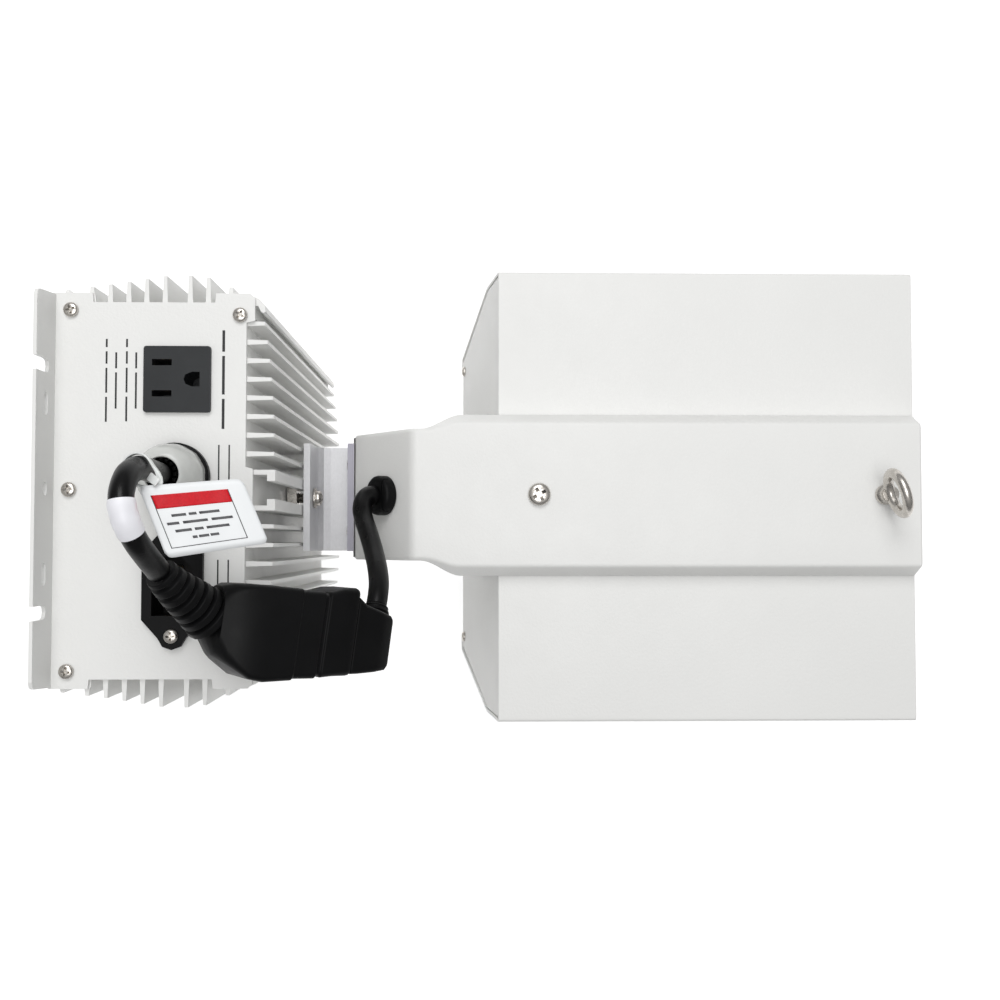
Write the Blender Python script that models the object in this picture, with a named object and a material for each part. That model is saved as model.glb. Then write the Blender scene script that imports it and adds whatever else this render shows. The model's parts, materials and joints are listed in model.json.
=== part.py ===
"""Grow lamp: a finned electronic ballast that carries a reflector hood on a sliding, tilting bracket.

Lengths are in millimetres and become metres when a mesh is made. +Z points out of the hood's roof,
+X runs from the ballast's mounting face to the hood's far end. The origin is the centre of the
ballast's mounting face.
"""
import math

import bmesh
import bpy
from mathutils import Matrix, Vector

MM = 0.001
GAP = 0.3
DATUM = Vector((2.8, 0, 0))  # X below is measured from a plane this far in front of the mounting face

# Ballast
HALF_LENGTH = 117.0
SHEET = 1.5
DEPTH = 76.0
WALL_Y = 76.5
CORNER_Y = 80.0
FIN_PITCH = 7.65
FLANGE_REACH = 20.0
BACK = -DATUM.x
PLATE_TOP = HALF_LENGTH + GAP

# Places on the end plate
OUTLET = (48.4, 44.9)
GLAND = (48.2, 5.0)
INLET = (47.5, -39.0)
EAR_REACH = 20.0

# Bracket and neck
BOLT_Z = 27.5
BRACKET_X = (88.3, 112.0)
BRACKET_Z = (12.0, 41.0)
BRACKET_HALF = 25.5
BRACKET_SHEET = 3.0
NECK_X = 112.5
NECK_HALF = 29.5
NECK_FLOOR = 6.0
NECK_TOP = 39.0
SLOPE_END = 141.4

# Hood
SPINE_TOP = 75.0
ROOF = 65.0
RIM = -55.0
HOOD_X = (180.0, 370.0)
FLARE = 0.15
HOOD_HALF = 102.5
KNEE_Z = 32.0
RIM_HALF = 81.0
HOOD_SHEET = 1.5
BUSHING_X = 128.7
LAMP_Z = 25.0
EYE_X = 353.0
SPINE_SCREW_X = 198.0

LEAD_D = 8.8
CORD_D = 8.5
LEAD_ROUTE = [(48.2, 5, 142.4), (48.4, 5.2, 152), (49.2, 5.4, 164), (49.6, 5, 176), (49.2, 1.5, 187),
              (49.2, -6, 193), (50.6, -13.5, 192.5), (52.8, -20.5, 188.5), (54.9, -26.5, 181),
              (56.6, -31.6, 172.6)]
CORD_ROUTE = [(123.5, 0, 63.4), (121.2, -0.2, 65.2), (119.4, -2.4, 67.6), (118.9, -6.4, 71.4),
              (120.3, -11.5, 75.5), (123.2, -18.3, 83), (126, -25.5, 91), (128.2, -32, 99), (129.4, -38, 105.3),
              (129.4, -43, 109.6), (128.95, -47.2, 111.95)]
RELIEF_ROUTE = [(56.95, -32.4, 171.4), (60.5, -37.6, 166), (65.8, -43.6, 159)]
CONNECTOR_START = (71.3, -49.9, 152)
CONNECTOR_AXIS = (45.2, -7.8, -27)
CONNECTOR_LENGTH = 53.2
TAG_CORNERS = [(51.2, -1.6, 180.4), (86.7, 1.3, 176), (95.6, -21.6, 172), (60.8, -27.0, 177.6)]
TIE = (49.5, 4.8, 174.2)

BODIES = {}


def clear_scene():
    for old in list(bpy.data.objects):
        bpy.data.objects.remove(old, do_unlink=True)


def add_body(name, x=0.0, y=0.0, z=0.0):
    """An empty on a body's joint; the body's pieces are parented to it."""
    empty = bpy.data.objects.new(f"{name}_frame", None)
    empty.location = (Vector((x, y, z)) + DATUM) * MM
    bpy.context.collection.objects.link(empty)
    BODIES[name] = empty


def add_material(name, colour, roughness, metallic=0.0):
    mat = bpy.data.materials.new(name)
    mat.use_nodes = True
    shader = mat.node_tree.nodes["Principled BSDF"]
    shader.inputs["Base Color"].default_value = (*colour, 1.0)
    shader.inputs["Roughness"].default_value = roughness
    shader.inputs["Metallic"].default_value = metallic
    return mat


def link(name, mesh, body, at=(0, 0, 0), turn=None):
    obj = bpy.data.objects.new(name, mesh)
    bpy.context.collection.objects.link(obj)
    parent = BODIES[body]
    obj.parent = parent
    obj.location = (Vector(at) + DATUM) * MM - parent.location
    if turn is not None:
        obj.rotation_euler = turn.to_euler()
    return obj


def finish(bm, name, mat, body, at=(0, 0, 0), turn=None, smooth=True):
    """Turn a mesh in millimetres into an object whose origin is at the point at."""
    bmesh.ops.scale(bm, vec=(MM, MM, MM), verts=bm.verts)
    bmesh.ops.recalc_face_normals(bm, faces=bm.faces)
    mesh = bpy.data.meshes.new(name)
    bm.to_mesh(mesh)
    bm.free()
    mesh.materials.append(mat)
    if smooth:
        mesh.shade_smooth()
        mesh.set_sharp_from_angle(angle=math.radians(35))
    return link(name, mesh, body, at, turn)


def hide_cutter(obj):
    obj.hide_render = True
    obj.display_type = "WIRE"
    return obj


def boolean(obj, tool, operation="DIFFERENCE"):
    hide_cutter(tool)
    mod = obj.modifiers.new(tool.name, "BOOLEAN")
    mod.object = tool
    mod.operation = operation
    return obj


def circle(x, y, radius, count=12, start=0.0):
    return [(x + radius * math.cos(start + 2 * math.pi * i / count),
             y + radius * math.sin(start + 2 * math.pi * i / count)) for i in range(count)]


def rounded(x0, x1, y0, y1, radius, count=3):
    """A rectangle with round corners, counterclockwise."""
    points = []
    corners = [(x1 - radius, y1 - radius, 0), (x0 + radius, y1 - radius, 90),
               (x0 + radius, y0 + radius, 180), (x1 - radius, y0 + radius, 270)]
    for cx, cy, start in corners:
        for i in range(count + 1):
            angle = math.radians(start + 90 * i / count)
            points.append((cx + radius * math.cos(angle), cy + radius * math.sin(angle)))
    return points


AXES = {"x": (1, 2, 0), "y": (0, 2, 1), "z": (0, 1, 2)}


def prism_mesh(outline, axis, low, high, holes=()):
    """Extrude an outline with holes along an axis. u and v are the other two axes, in order."""
    u, v, w = AXES[axis]
    bm = bmesh.new()
    edges = []
    for loop in [outline, *holes]:
        verts = []
        for a, b in loop:
            place = [0.0, 0.0, 0.0]
            place[u], place[v], place[w] = a, b, low
            verts.append(bm.verts.new(place))
        for i, vert in enumerate(verts):
            edges.append(bm.edges.new((vert, verts[(i + 1) % len(verts)])))
    bmesh.ops.triangle_fill(bm, use_beauty=True, edges=edges)
    made = bmesh.ops.extrude_face_region(bm, geom=bm.faces[:])["geom"]
    move = [0.0, 0.0, 0.0]
    move[w] = high - low
    bmesh.ops.translate(bm, vec=move, verts=[g for g in made if isinstance(g, bmesh.types.BMVert)])
    return bm


def prism(name, mat, body, outline, axis, low, high, holes=(), smooth=True):
    return finish(prism_mesh(outline, axis, low, high, holes), name, mat, body, smooth=smooth)


def turned_mesh(profile, count=24, closed=False):
    """Turn (radius, height) points about Z. Points at radius 0 become poles."""
    bm = bmesh.new()
    rings = []
    for radius, height in profile:
        if radius < 1e-6:
            rings.append([bm.verts.new((0, 0, height))])
            continue
        rings.append([bm.verts.new((x, y, height)) for x, y in circle(0, 0, radius, count)])
    pairs = list(zip(rings, rings[1:]))
    if closed:
        pairs.append((rings[-1], rings[0]))
    for a, b in pairs:
        join_rings(bm, a, b)
    return bm


def join_rings(bm, a, b):
    count = max(len(a), len(b))
    if count == 1:
        return
    for i in range(count):
        j = (i + 1) % count
        if len(a) == 1:
            bm.faces.new((a[0], b[j], b[i]))
        elif len(b) == 1:
            bm.faces.new((a[i], a[j], b[0]))
        else:
            bm.faces.new((a[i], a[j], b[j], b[i]))


def turned(name, mat, body, profile, at, axis=(0, 0, 1), count=24, closed=False):
    turn = Vector((0, 0, 1)).rotation_difference(Vector(axis)).to_matrix()
    return finish(turned_mesh(profile, count, closed), name, mat, body, at, turn)


def loft_mesh(sections):
    """Join closed sections of equal point count and cap both ends."""
    bm = bmesh.new()
    rings = [[bm.verts.new(p) for p in section] for section in sections]
    for a, b in zip(rings, rings[1:]):
        join_rings(bm, a, b)
    bm.faces.new(rings[0])
    bm.faces.new(rings[-1])
    bmesh.ops.triangulate(bm, faces=bm.faces[:])
    return bm


def loft(name, mat, body, sections, smooth=True):
    return finish(loft_mesh(sections), name, mat, body, smooth=smooth)


def smooth_route(route, spacing):
    """Points along a Catmull-Rom curve through a route."""
    knots = [Vector(p) for p in route]
    knots = [knots[0] * 2 - knots[1], *knots, knots[-1] * 2 - knots[-2]]
    dense = []
    for a, b, c, d in zip(knots, knots[1:], knots[2:], knots[3:]):
        for i in range(20):
            t = i / 20
            dense.append(0.5 * (2 * b + (c - a) * t + (2 * a - 5 * b + 4 * c - d) * t * t
                                + (3 * b - a - 3 * c + d) * t ** 3))
    dense.append(knots[-2])
    lengths = [0.0]
    for a, b in zip(dense, dense[1:]):
        lengths.append(lengths[-1] + (b - a).length)
    count = max(3, round(lengths[-1] / spacing))
    picked = []
    for k in range(count + 1):
        target = lengths[-1] * k / count
        picked.append(min(zip(lengths, dense), key=lambda pair: abs(pair[0] - target))[1])
    return picked


def tube(name, mat, body, route, diameter, spacing):
    curve = bpy.data.curves.new(name, "CURVE")
    curve.dimensions = "3D"
    curve.bevel_depth = diameter / 2 * MM
    curve.bevel_resolution = 3
    curve.use_fill_caps = True
    spline = curve.splines.new("POLY")
    points = smooth_route(route, spacing)
    spline.points.add(len(points) - 1)
    for point, place in zip(spline.points, points):
        point.co = (*((place + DATUM) * MM - BODIES[body].location), 1.0)
    curve.materials.append(mat)
    obj = bpy.data.objects.new(name, curve)
    bpy.context.collection.objects.link(obj)
    obj.parent = BODIES[body]
    return obj


def screw_mesh(mat, name, head_r, head_h, shank_r, shank_l, count=14):
    """A pan-head screw pointing down -Z with its head's seat at Z = 0."""
    profile = [(0, -shank_l), (shank_r, -shank_l), (shank_r, 0), (head_r, 0),
               (head_r, head_h * 0.4), (head_r * 0.75, head_h * 0.9), (head_r * 0.3, head_h),
               (head_r * 0.22, head_h * 0.55), (0, head_h * 0.45)]
    bm = turned_mesh(profile, count)
    bmesh.ops.scale(bm, vec=(MM, MM, MM), verts=bm.verts)
    bmesh.ops.recalc_face_normals(bm, faces=bm.faces)
    mesh = bpy.data.meshes.new(name)
    bm.to_mesh(mesh)
    bm.free()
    mesh.materials.append(mat)
    return mesh


def place_screw(name, mesh, body, at, axis):
    turn = Vector((0, 0, 1)).rotation_difference(Vector(axis)).to_matrix()
    return link(name, mesh, body, at, turn)


# Ballast -----------------------------------------------------------------------------------------

TOP_FINS = [(12.6, 83.4), (20.1, 84.4), (27.6, 85.5), (34.9, 86.7), (42.4, 87.9),
            (52.6, 88.2), (60.0, 87.3), (69.2, 83.4)]
SIDE_FINS = [(14.8 + FIN_PITCH * i, 87.3 - 0.082 * i * i) for i in range(8)]
CORNER_SCREWS = [(5.0, 73.3), (5.0, -73.3), (73.5, 71.4), (73.5, -71.4)]
MIDDLE_SCREWS = [(5.0, 0.0), (73.5, 0.0)]


def fin(along, base, tip, root=1.1, end=0.75):
    """Four corners of a tapered fin, as (along, out) points in rising order of along."""
    return [(along - root, base), (along - end, tip), (along + end, tip), (along + root, base)]


def housing_half():
    """The housing's outline for Y > 0, from the T-slot round to the open back and inside."""
    slot = [(79.0, 6.3), (84.5, 6.3), (84.5, 3.7), (87.8, 3.7), (87.8, 8.3), (DEPTH, 8.3)]
    side = [(out, along) for y, tip in SIDE_FINS for along, out in fin(y, DEPTH, tip)]
    corner = [(DEPTH, 70.2), (79.0, 70.6), (79.0, 75.4), (80.3, 75.8), (81.6, 73.2), (82.4, 72.8),
              (83.4, 73.3), (83.0, 75.9), (80.8, 78.6), (77.4, CORNER_Y)]
    top = []
    for x, tip in reversed(TOP_FINS):
        base = CORNER_Y if x < 13 or x > 64 else WALL_Y
        top += list(reversed(fin(x, base, tip)))
        if x > 64:
            top += [(64.2, CORNER_Y), (64.0, WALL_Y)]
        if 20 < x < 21:
            top += [(14.3, WALL_Y), (14.1, CORNER_Y)]
    left = [(4.1, CORNER_Y), (3.1, 82.2), (2.1, 82.0), (1.4, CORNER_Y), (-1.0, CORNER_Y)]
    inside = [(-1.0, 69.5), (9.5, 69.5), (9.5, 74.0), (69.2, 74.0), (69.2, 69.0), (73.5, 69.0),
              (73.5, 4.8), (69.4, 4.8)]
    return slot + side + corner + top + left + inside


def build_housing(mat):
    half = housing_half()
    outline = half + [(x, -y) for x, y in reversed(half)]
    ports = [circle(x, y, 1.5, 8) for x, y in [*CORNER_SCREWS, MIDDLE_SCREWS[1]]]
    reach = HALF_LENGTH - SHEET - GAP
    prism("ballast_housing", mat, "ballast", outline, "z", -reach, reach, ports, smooth=False)


def build_back_plate(mat):
    face = BACK + SHEET
    rib = [(BACK, 78.0), (BACK, -78.0), (face, -78.0), (face, -4.0), (8.6, -4.0), (8.6, 4.0),
           (face, 4.0), (face, 78.0)]
    reach = HALF_LENGTH - SHEET - GAP
    prism("back_plate", mat, "ballast", rib, "z", -reach, reach, [circle(*MIDDLE_SCREWS[0], 1.5, 8)],
          smooth=False)


def plate_outline():
    half = [(79.0, 8.6), (DEPTH, 9.4), (DEPTH, 68.4), (79.4, 69.2), (79.4, 78.6), (77.6, 80.4),
            (63.6, 80.4), (63.2, 76.6), (13.8, 76.6), (13.4, 80.4), (BACK + 0.4, 80.4)]
    return half + [(x, -y) for x, y in reversed(half)]


def flange_outline(low, high):
    """The mounting flange in Y and Z, open notches at its edge."""
    half = [(79.9, low), (78.4, high - 3), (77.6, high - 0.9), (75.4, high), (51.9, high),
            (51.9, high - 10.8), (51.2, high - 12.5), (49.1, high - 13.3), (47.0, high - 12.5),
            (46.3, high - 10.8), (46.3, high)]
    return half + [(-y, z) for y, z in reversed(half)]


def build_end_plate(name, mat, sign, holes):
    plate = finish(prism_mesh(plate_outline(), "z", HALF_LENGTH - SHEET, HALF_LENGTH, holes),
                   name, mat, "ballast", smooth=False)
    low, high = HALF_LENGTH - SHEET + 0.4, HALF_LENGTH + FLANGE_REACH
    middle = HALF_LENGTH + 9.5
    slots = [rounded(y - half, y + half, middle - 2.0, middle + 2.0, 1.9, 3)
             for y, half in ((34, 4.7), (0, 2.8), (-34, 4.7))]
    flange = prism(name + "_flange", mat, "ballast", flange_outline(low, high), "x", BACK, BACK + SHEET,
                   slots, smooth=False)
    boolean(plate, flange, "UNION")
    if sign < 0:
        for obj in (plate, flange):
            obj.data.transform(Matrix.Scale(-1, 4, (0, 0, 1)))
            obj.data.flip_normals()


def build_end_plates(mat, dark):
    screws = CORNER_SCREWS + MIDDLE_SCREWS
    holes = [circle(x, y, 1.75, 8) for x, y in screws]
    openings = [rounded(OUTLET[0] - 13.0, OUTLET[0] + 13.0, OUTLET[1] - 12.9, OUTLET[1] + 12.9, 1, 2),
                circle(*GLAND, 10.4, 16),
                rounded(INLET[0] - 10.2, INLET[0] + 10.2, INLET[1] - 14.0, INLET[1] + 14.0, 1, 2)]
    openings += [circle(INLET[0], INLET[1] + side * EAR_REACH, 1.9, 8) for side in (1, -1)]
    build_end_plate("top_end_plate", mat, 1, holes + openings)
    build_end_plate("bottom_end_plate", mat, -1, holes)
    mesh = screw_mesh(dark, "plate_screw", 3.0, 1.9, 1.2, 7.0, 12)
    for i, (x, y) in enumerate(screws):
        place_screw(f"top_screw_{i + 1}", mesh, "ballast", (x, y, HALF_LENGTH + GAP), (0, 0, 1))
    for i, (x, y) in enumerate(CORNER_SCREWS):
        place_screw(f"bottom_screw_{i + 1}", mesh, "ballast", (x, y, -HALF_LENGTH - GAP), (0, 0, -1))


def box_cutter(name, mat, x, y, z, size):
    bm = prism_mesh(rounded(-size[0] / 2, size[0] / 2, -size[1] / 2, size[1] / 2, 0.2, 1), "z", 0,
                    size[2])
    return finish(bm, name, mat, "ballast", (x, y, z))


def build_outlet(mat):
    """A snap-in mains outlet, two blade slots and a D-shaped earth hole."""
    x, y = OUTLET
    face = prism("outlet", mat, "ballast", rounded(x - 13.55, x + 13.55, y - 13.5, y + 13.5, 1, 2),
                 "z", PLATE_TOP, PLATE_TOP + 1.6)
    core = prism("outlet_core", mat, "ballast", rounded(x - 12.6, x + 12.6, y - 12.5, y + 12.5, 1, 2),
                 "z", PLATE_TOP - 24, PLATE_TOP + 0.8)
    boolean(face, core, "UNION")
    depth = 16.0
    for i, side in enumerate((1, -1)):
        boolean(face, box_cutter(f"outlet_slot_{i}", mat, x - 6.1, y + 0.5 + side * 6.35,
                                 PLATE_TOP + 1.7 - depth, (8.0, 2.6, depth)))
    earth = [(x + 3.4, y - 1.9), (x + 6, y - 3), (x + 9.2, y - 3), (x + 9.2, y + 3), (x + 6, y + 3),
             (x + 3.4, y + 1.9), (x + 2.7, y)]
    hole = prism("outlet_earth", mat, "ballast", earth, "z", PLATE_TOP + 1.7 - depth, PLATE_TOP + 2)
    boolean(face, hole)


def inlet_outline():
    x, y = INLET
    points = []
    for side in (1, -1):
        rim = [(x + side * 12.2, y + side * 11), (x + side * 12.2, y + side * 13.5)]
        tip = [(x + side * 5.6 * math.cos(math.radians(a)),
                y + side * (EAR_REACH + 5.6 * math.sin(math.radians(a)))) for a in (10, 50, 90, 130, 170)]
        end = [(x - side * 12.2, y + side * 13.5), (x - side * 12.2, y + side * 11)]
        points += rim + tip + end
    return points


def build_inlet(black, brass, steel):
    """A flanged mains inlet: an open cavity with three blades."""
    x, y = INLET
    ears = [circle(x, y + side * EAR_REACH, 1.9, 8) for side in (1, -1)]
    flange = prism("mains_inlet", black, "ballast", inlet_outline(), "z", PLATE_TOP, PLATE_TOP + 2.6,
                   ears)
    core = prism("inlet_core", black, "ballast", rounded(x - 9.7, x + 9.7, y - 13.5, y + 13.5, 1, 2),
                 "z", PLATE_TOP - 21, PLATE_TOP + 1.2)
    boolean(flange, core, "UNION")
    shape = [(x - 8.2, y - 11.9), (x + 3.6, y - 11.9), (x + 8.2, y - 7.4), (x + 8.2, y + 7.4),
             (x + 3.6, y + 11.9), (x - 8.2, y + 11.9)]
    cavity = prism("inlet_cavity", black, "ballast", shape, "z", PLATE_TOP - 16, PLATE_TOP + 3)
    boolean(flange, cavity)
    for name, px, py in (("earth", 2.0, 0), ("line", -2.0, 7.0), ("neutral", -2.0, -7.0)):
        prism(f"inlet_pin_{name}", brass, "ballast",
              rounded(x + px - 2, x + px + 2, y + py - 1, y + py + 1, 0.4, 1), "z",
              PLATE_TOP - 15.7, PLATE_TOP - 4)
    mesh = screw_mesh(steel, "ear_screw", 2.9, 2.0, 1.4, 8.0, 12)
    for i, side in enumerate((1, -1)):
        place_screw(f"inlet_screw_{i + 1}", mesh, "ballast",
                    (x, y + side * EAR_REACH, PLATE_TOP + 2.6 + GAP), (0, 0, 1))


def build_gland(black, grey):
    """A cable gland: threaded body with a collar, toothed clamp ring, domed nut."""
    bore = LEAD_D / 2 + GAP
    body = [(bore, -14), (10, -14), (10, 0), (14, 0), (14, 4), (9.6, 4), (9.6, 17), (7.6, 20.6),
            (bore, 20.6)]
    turned("gland_body", black, "ballast", body, (*GLAND, PLATE_TOP), count=20, closed=True)
    nut = [(9.9, 4.3), (13, 4.3), (13, 13), (11.8, 18), (9.4, 22), (8.2, 23), (7.9, 22), (9.9, 17)]
    turned("gland_nut", grey, "ballast", nut, (*GLAND, PLATE_TOP), count=24, closed=True)


# Leads -------------------------------------------------------------------------------------------

def ring_points(center, normal, radius, count, up=(0, 0, 1)):
    side = Vector(normal).cross(Vector(up)).normalized()
    other = side.cross(Vector(normal)).normalized()
    return [Vector(center) + side * x + other * y for x, y in circle(0, 0, radius, count)]


def build_sleeve(mat):
    """A heat-shrink sleeve round the descending side of the output lead."""
    points = smooth_route(LEAD_ROUTE, 2.8)
    picked = points[len(points) * 63 // 100:len(points) * 63 // 100 + 6]
    bm = bmesh.new()
    shells = []
    for radius in (LEAD_D / 2 + 0.3, LEAD_D / 2 + 0.9):
        rings = []
        for i, point in enumerate(picked):
            ahead = picked[min(i + 1, len(picked) - 1)] - picked[max(i - 1, 0)]
            rings.append([bm.verts.new(p) for p in ring_points(point, ahead, radius, 12, (1, 0, 0))])
        shells.append(rings)
    inner, outer = shells
    for a, b in zip(outer, outer[1:]):
        join_rings(bm, a, b)
    for a, b in zip(inner, inner[1:]):
        join_rings(bm, b, a)
    join_rings(bm, inner[0], outer[0])
    join_rings(bm, outer[-1], inner[-1])
    finish(bm, "lead_sleeve", mat, "ballast")


def connector_frame():
    along = Vector(CONNECTOR_AXIS).normalized()
    wide = (Vector((0, 1, 0)) - along * along.y).normalized()
    return Vector(CONNECTOR_START), along, wide, along.cross(wide)


def connector_section(reach, half_wide, half_thick, radius, shift=0.0):
    start, along, wide, thick = connector_frame()
    center = start + along * reach + wide * shift
    return [center + wide * u + thick * v
            for u, v in rounded(-half_wide, half_wide, -half_thick, half_thick, radius, 3)]


def build_connector(black):
    """The moulded female connector with its bent strain relief, in one piece."""
    start, along, wide, thick = connector_frame()
    route = [Vector(p) for p in RELIEF_ROUTE] + [start]
    sections = []
    for i, (center, radius) in enumerate(zip(route[:3], (6.4, 8.0, 9.6))):
        ahead = (route[i + 1] - route[max(i - 1, 0)]).normalized()
        side = (wide - ahead * wide.dot(ahead)).normalized()
        other = ahead.cross(side)
        sections.append([center + side * u + other * v
                         for u, v in rounded(-radius, radius, -radius, radius, radius * 0.98, 3)])
    for reach, half_wide, half_thick, radius, shift in (
            (0, 13, 10.5, 8, -1), (5, 16.5, 12.5, 6, -1.5), (12, 18.5, 14, 4, -1), (40, 19, 14.5, 4, -1),
            (42, 17.6, 13.4, 4, -1), (CONNECTOR_LENGTH - 0.3, 17.2, 13.2, 4, -1)):
        sections.append(connector_section(reach, half_wide, half_thick, radius, shift))
    loft("output_connector", black, "slider", sections)


def build_plug(black):
    """The moulded male plug; its cord leaves sideways through a short boss."""
    start, along, wide, thick = connector_frame()
    stations = ((CONNECTOR_LENGTH, 15.6, 12.4, 4, -1), (CONNECTOR_LENGTH + 8, 13.4, 11.8, 3, -1.4),
                (CONNECTOR_LENGTH + 15.4, 11.0, 10.8, 3, -2), (CONNECTOR_LENGTH + 16.8, 9.6, 9.8, 3, -2))
    plug = loft("lamp_plug", black, "slider", [connector_section(*s) for s in stations])
    center = start + along * 66
    boss = turned("plug_boss", black, "slider", [(0, 5.0), (5.4, 5.0), (5.0, 13.4), (0, 13.4)],
                  tuple(center), tuple(wide - Vector((0, 0, 0.45))), 16)
    boolean(plug, boss, "UNION")


def build_relief(black):
    """A push-in cord bushing on the neck's sloped face."""
    x = BUSHING_X
    z = NECK_TOP + (x - NECK_X) * (SPINE_TOP - NECK_TOP) / (SLOPE_END - NECK_X)
    profile = [(0, -4.5), (6.2, -4.5), (6.2, GAP), (9.1, GAP), (9.1, 4.4), (8.6, 5.5), (7.2, 6.1), (0, 6.3)]
    turned("strain_relief", black, "hood", profile, (x, 0, z), (-0.78, 0, 0.626), 20)


def build_tag(paper, plastic):
    low = [Vector(p) - Vector((0, 0, 0.25)) for p in TAG_CORNERS]
    high = [Vector(p) + Vector((0, 0, 0.25)) for p in TAG_CORNERS]
    loft("lead_tag", paper, "tag", [low, high], smooth=False)
    inner, outer = LEAD_D / 2 + 0.9, LEAD_D / 2 + 1.7
    ring = turned("tag_tie", plastic, "tag", [(inner, 0), (outer, 0), (outer, 3), (inner, 3)], TIE,
                  count=16, closed=True)
    tail = [(52.9, 0.5), (54.3, 2.1), (61.0, -2.6), (59.6, -4.6)]
    tab = prism("tie_tail", plastic, "tag", tail, "z", TIE[2] + 1.6, TIE[2] + 2.7)
    boolean(ring, tab, "UNION")


def build_leads(black, white, plastic):
    tube("output_lead", black, "ballast", LEAD_ROUTE, LEAD_D, 3.6)
    build_sleeve(white)
    build_connector(black)
    build_plug(black)
    tube("lamp_cord", black, "slider", CORD_ROUTE, CORD_D, 3.4)
    build_relief(black)
    build_tag(white, plastic)


# Slide and tilt joint ----------------------------------------------------------------------------

def bracket_outline():
    x0, x1 = BRACKET_X
    z0, z1 = BRACKET_Z
    t = BRACKET_SHEET
    wide, tight = 9.5, 5.0

    def bend(cx, cz, radius, start):
        return [(cx + radius * math.cos(math.radians(start + a)),
                 cz + radius * math.sin(math.radians(start + a))) for a in (0, 30, 60, 90)]

    outer = [(x0, z1), *bend(x0 + wide, z0 + wide, wide, 180), *bend(x1 - tight, z0 + tight, tight, 270)]
    inner = [*reversed(bend(x1 - tight, z0 + tight, tight - t, 270)),
             *reversed(bend(x0 + wide, z0 + wide, wide - t, 180))]
    return outer + [(x1, z1), (x1 - t, z1)] + inner + [(x0 + t, z1)]


def rod(name, mat, body, at, axis, radius, length, count=12):
    return turned(name, mat, body, [(0, 0), (radius, 0), (radius, length), (0, length)], at, axis, count)


def build_bracket(aluminium, steel):
    bracket = prism("bracket", aluminium, "hood", bracket_outline(), "y", -BRACKET_HALF, BRACKET_HALF)
    boolean(bracket, rod("bolt_hole", aluminium, "hood", (86, 0, BOLT_Z), (1, 0, 0), 2.9, 8))
    for i, side in enumerate((1, -1)):
        boolean(bracket, rod(f"leg_hole_{i}", aluminium, "hood", (107, side * 16, BOLT_Z), (1, 0, 0),
                             2.3, 8))
    mesh = screw_mesh(steel, "neck_screw", 3.8, 1.4, 1.9, 7.5, 12)
    for i, side in enumerate((1, -1)):
        seat = BRACKET_X[1] - BRACKET_SHEET - GAP
        place_screw(f"bracket_screw_{i + 1}", mesh, "hood", (seat, side * 16, BOLT_Z), (-1, 0, 0))
    prism("slot_nut", steel, "slider", rounded(-5.6, 5.6, BOLT_Z - 6, BOLT_Z + 6, 0.6, 1), "x", 79.4,
          83.9, [circle(0, BOLT_Z, 2.8, 12)])
    seat = BRACKET_X[0] + BRACKET_SHEET + GAP
    turned("slot_washer", steel, "slider", [(2.8, 0), (4.9, 0), (4.9, 1), (2.8, 1)], (seat, 0, BOLT_Z),
           (1, 0, 0), 20, closed=True)
    bolt = screw_mesh(steel, "slot_bolt", 3.8, 2.6, 2.5, 13.2, 20)
    place_screw("slot_bolt", bolt, "slider", (seat + 1 + GAP, 0, BOLT_Z), (1, 0, 0))


# Hood --------------------------------------------------------------------------------------------

def left_x(z):
    return HOOD_X[0] - FLARE * (ROOF - z)


def right_x(z):
    return HOOD_X[1] + FLARE * (ROOF - z)


def sheet(name, mat, outer, inner, left_inset, right_inset):
    """A bent sheet between two outlines in Y and Z, from the hood's left plane to its right plane."""
    bm = bmesh.new()
    rows = []
    for outline in (outer, inner):
        for edge, inset in ((left_x, left_inset), (right_x, -right_inset)):
            rows.append([bm.verts.new((edge(z) + inset, y, z)) for y, z in outline])
    order = [rows[0], rows[1], rows[3], rows[2]]
    for a, b in zip(order, order[1:] + order[:1]):
        for i in range(len(a) - 1):
            bm.faces.new((a[i], b[i], b[i + 1], a[i + 1]))
    bm.faces.new([row[0] for row in order])
    bm.faces.new([row[-1] for row in order])
    return finish(bm, name, mat, "hood", smooth=False)


def mirrored(half):
    return half + [(-y, z) for y, z in reversed(half)]


def build_shell(white):
    """Roof and both sides of the hood; each side has a lip turned in along its rim."""
    t = HOOD_SHEET
    roof = sheet("hood_roof", white, mirrored([(HOOD_HALF, ROOF - 1.2), (HOOD_HALF - 1.2, ROOF)]),
                 mirrored([(HOOD_HALF, ROOF - t), (HOOD_HALF - 1.2, ROOF - t)]), 0, 0)
    for name, x, radius in (("roof_screw_hole", SPINE_SCREW_X, 2.9), ("roof_eye_hole", EYE_X, 3.3)):
        boolean(roof, rod(name, white, "hood", (x, 0, ROOF - 4), (0, 0, 1), radius, 8))
    top = ROOF - t - GAP
    outer = [(RIM_HALF - 7, RIM), (RIM_HALF, RIM), (HOOD_HALF, KNEE_Z), (HOOD_HALF, top)]
    inner = [(RIM_HALF - 7, RIM + t), (RIM_HALF - 1.0, RIM + t), (HOOD_HALF - t, KNEE_Z),
             (HOOD_HALF - t, top)]
    for i, side in enumerate((1, -1)):
        sheet(f"hood_side_{i + 1}", white, [(side * y, z) for y, z in outer],
              [(side * y, z) for y, z in inner], 0, 0)


def wall_profile():
    return mirrored([(RIM_HALF - 2.6, RIM + 1.9), (HOOD_HALF - 2.0, KNEE_Z), (HOOD_HALF - 2.0, ROOF - 2.0)])


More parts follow.
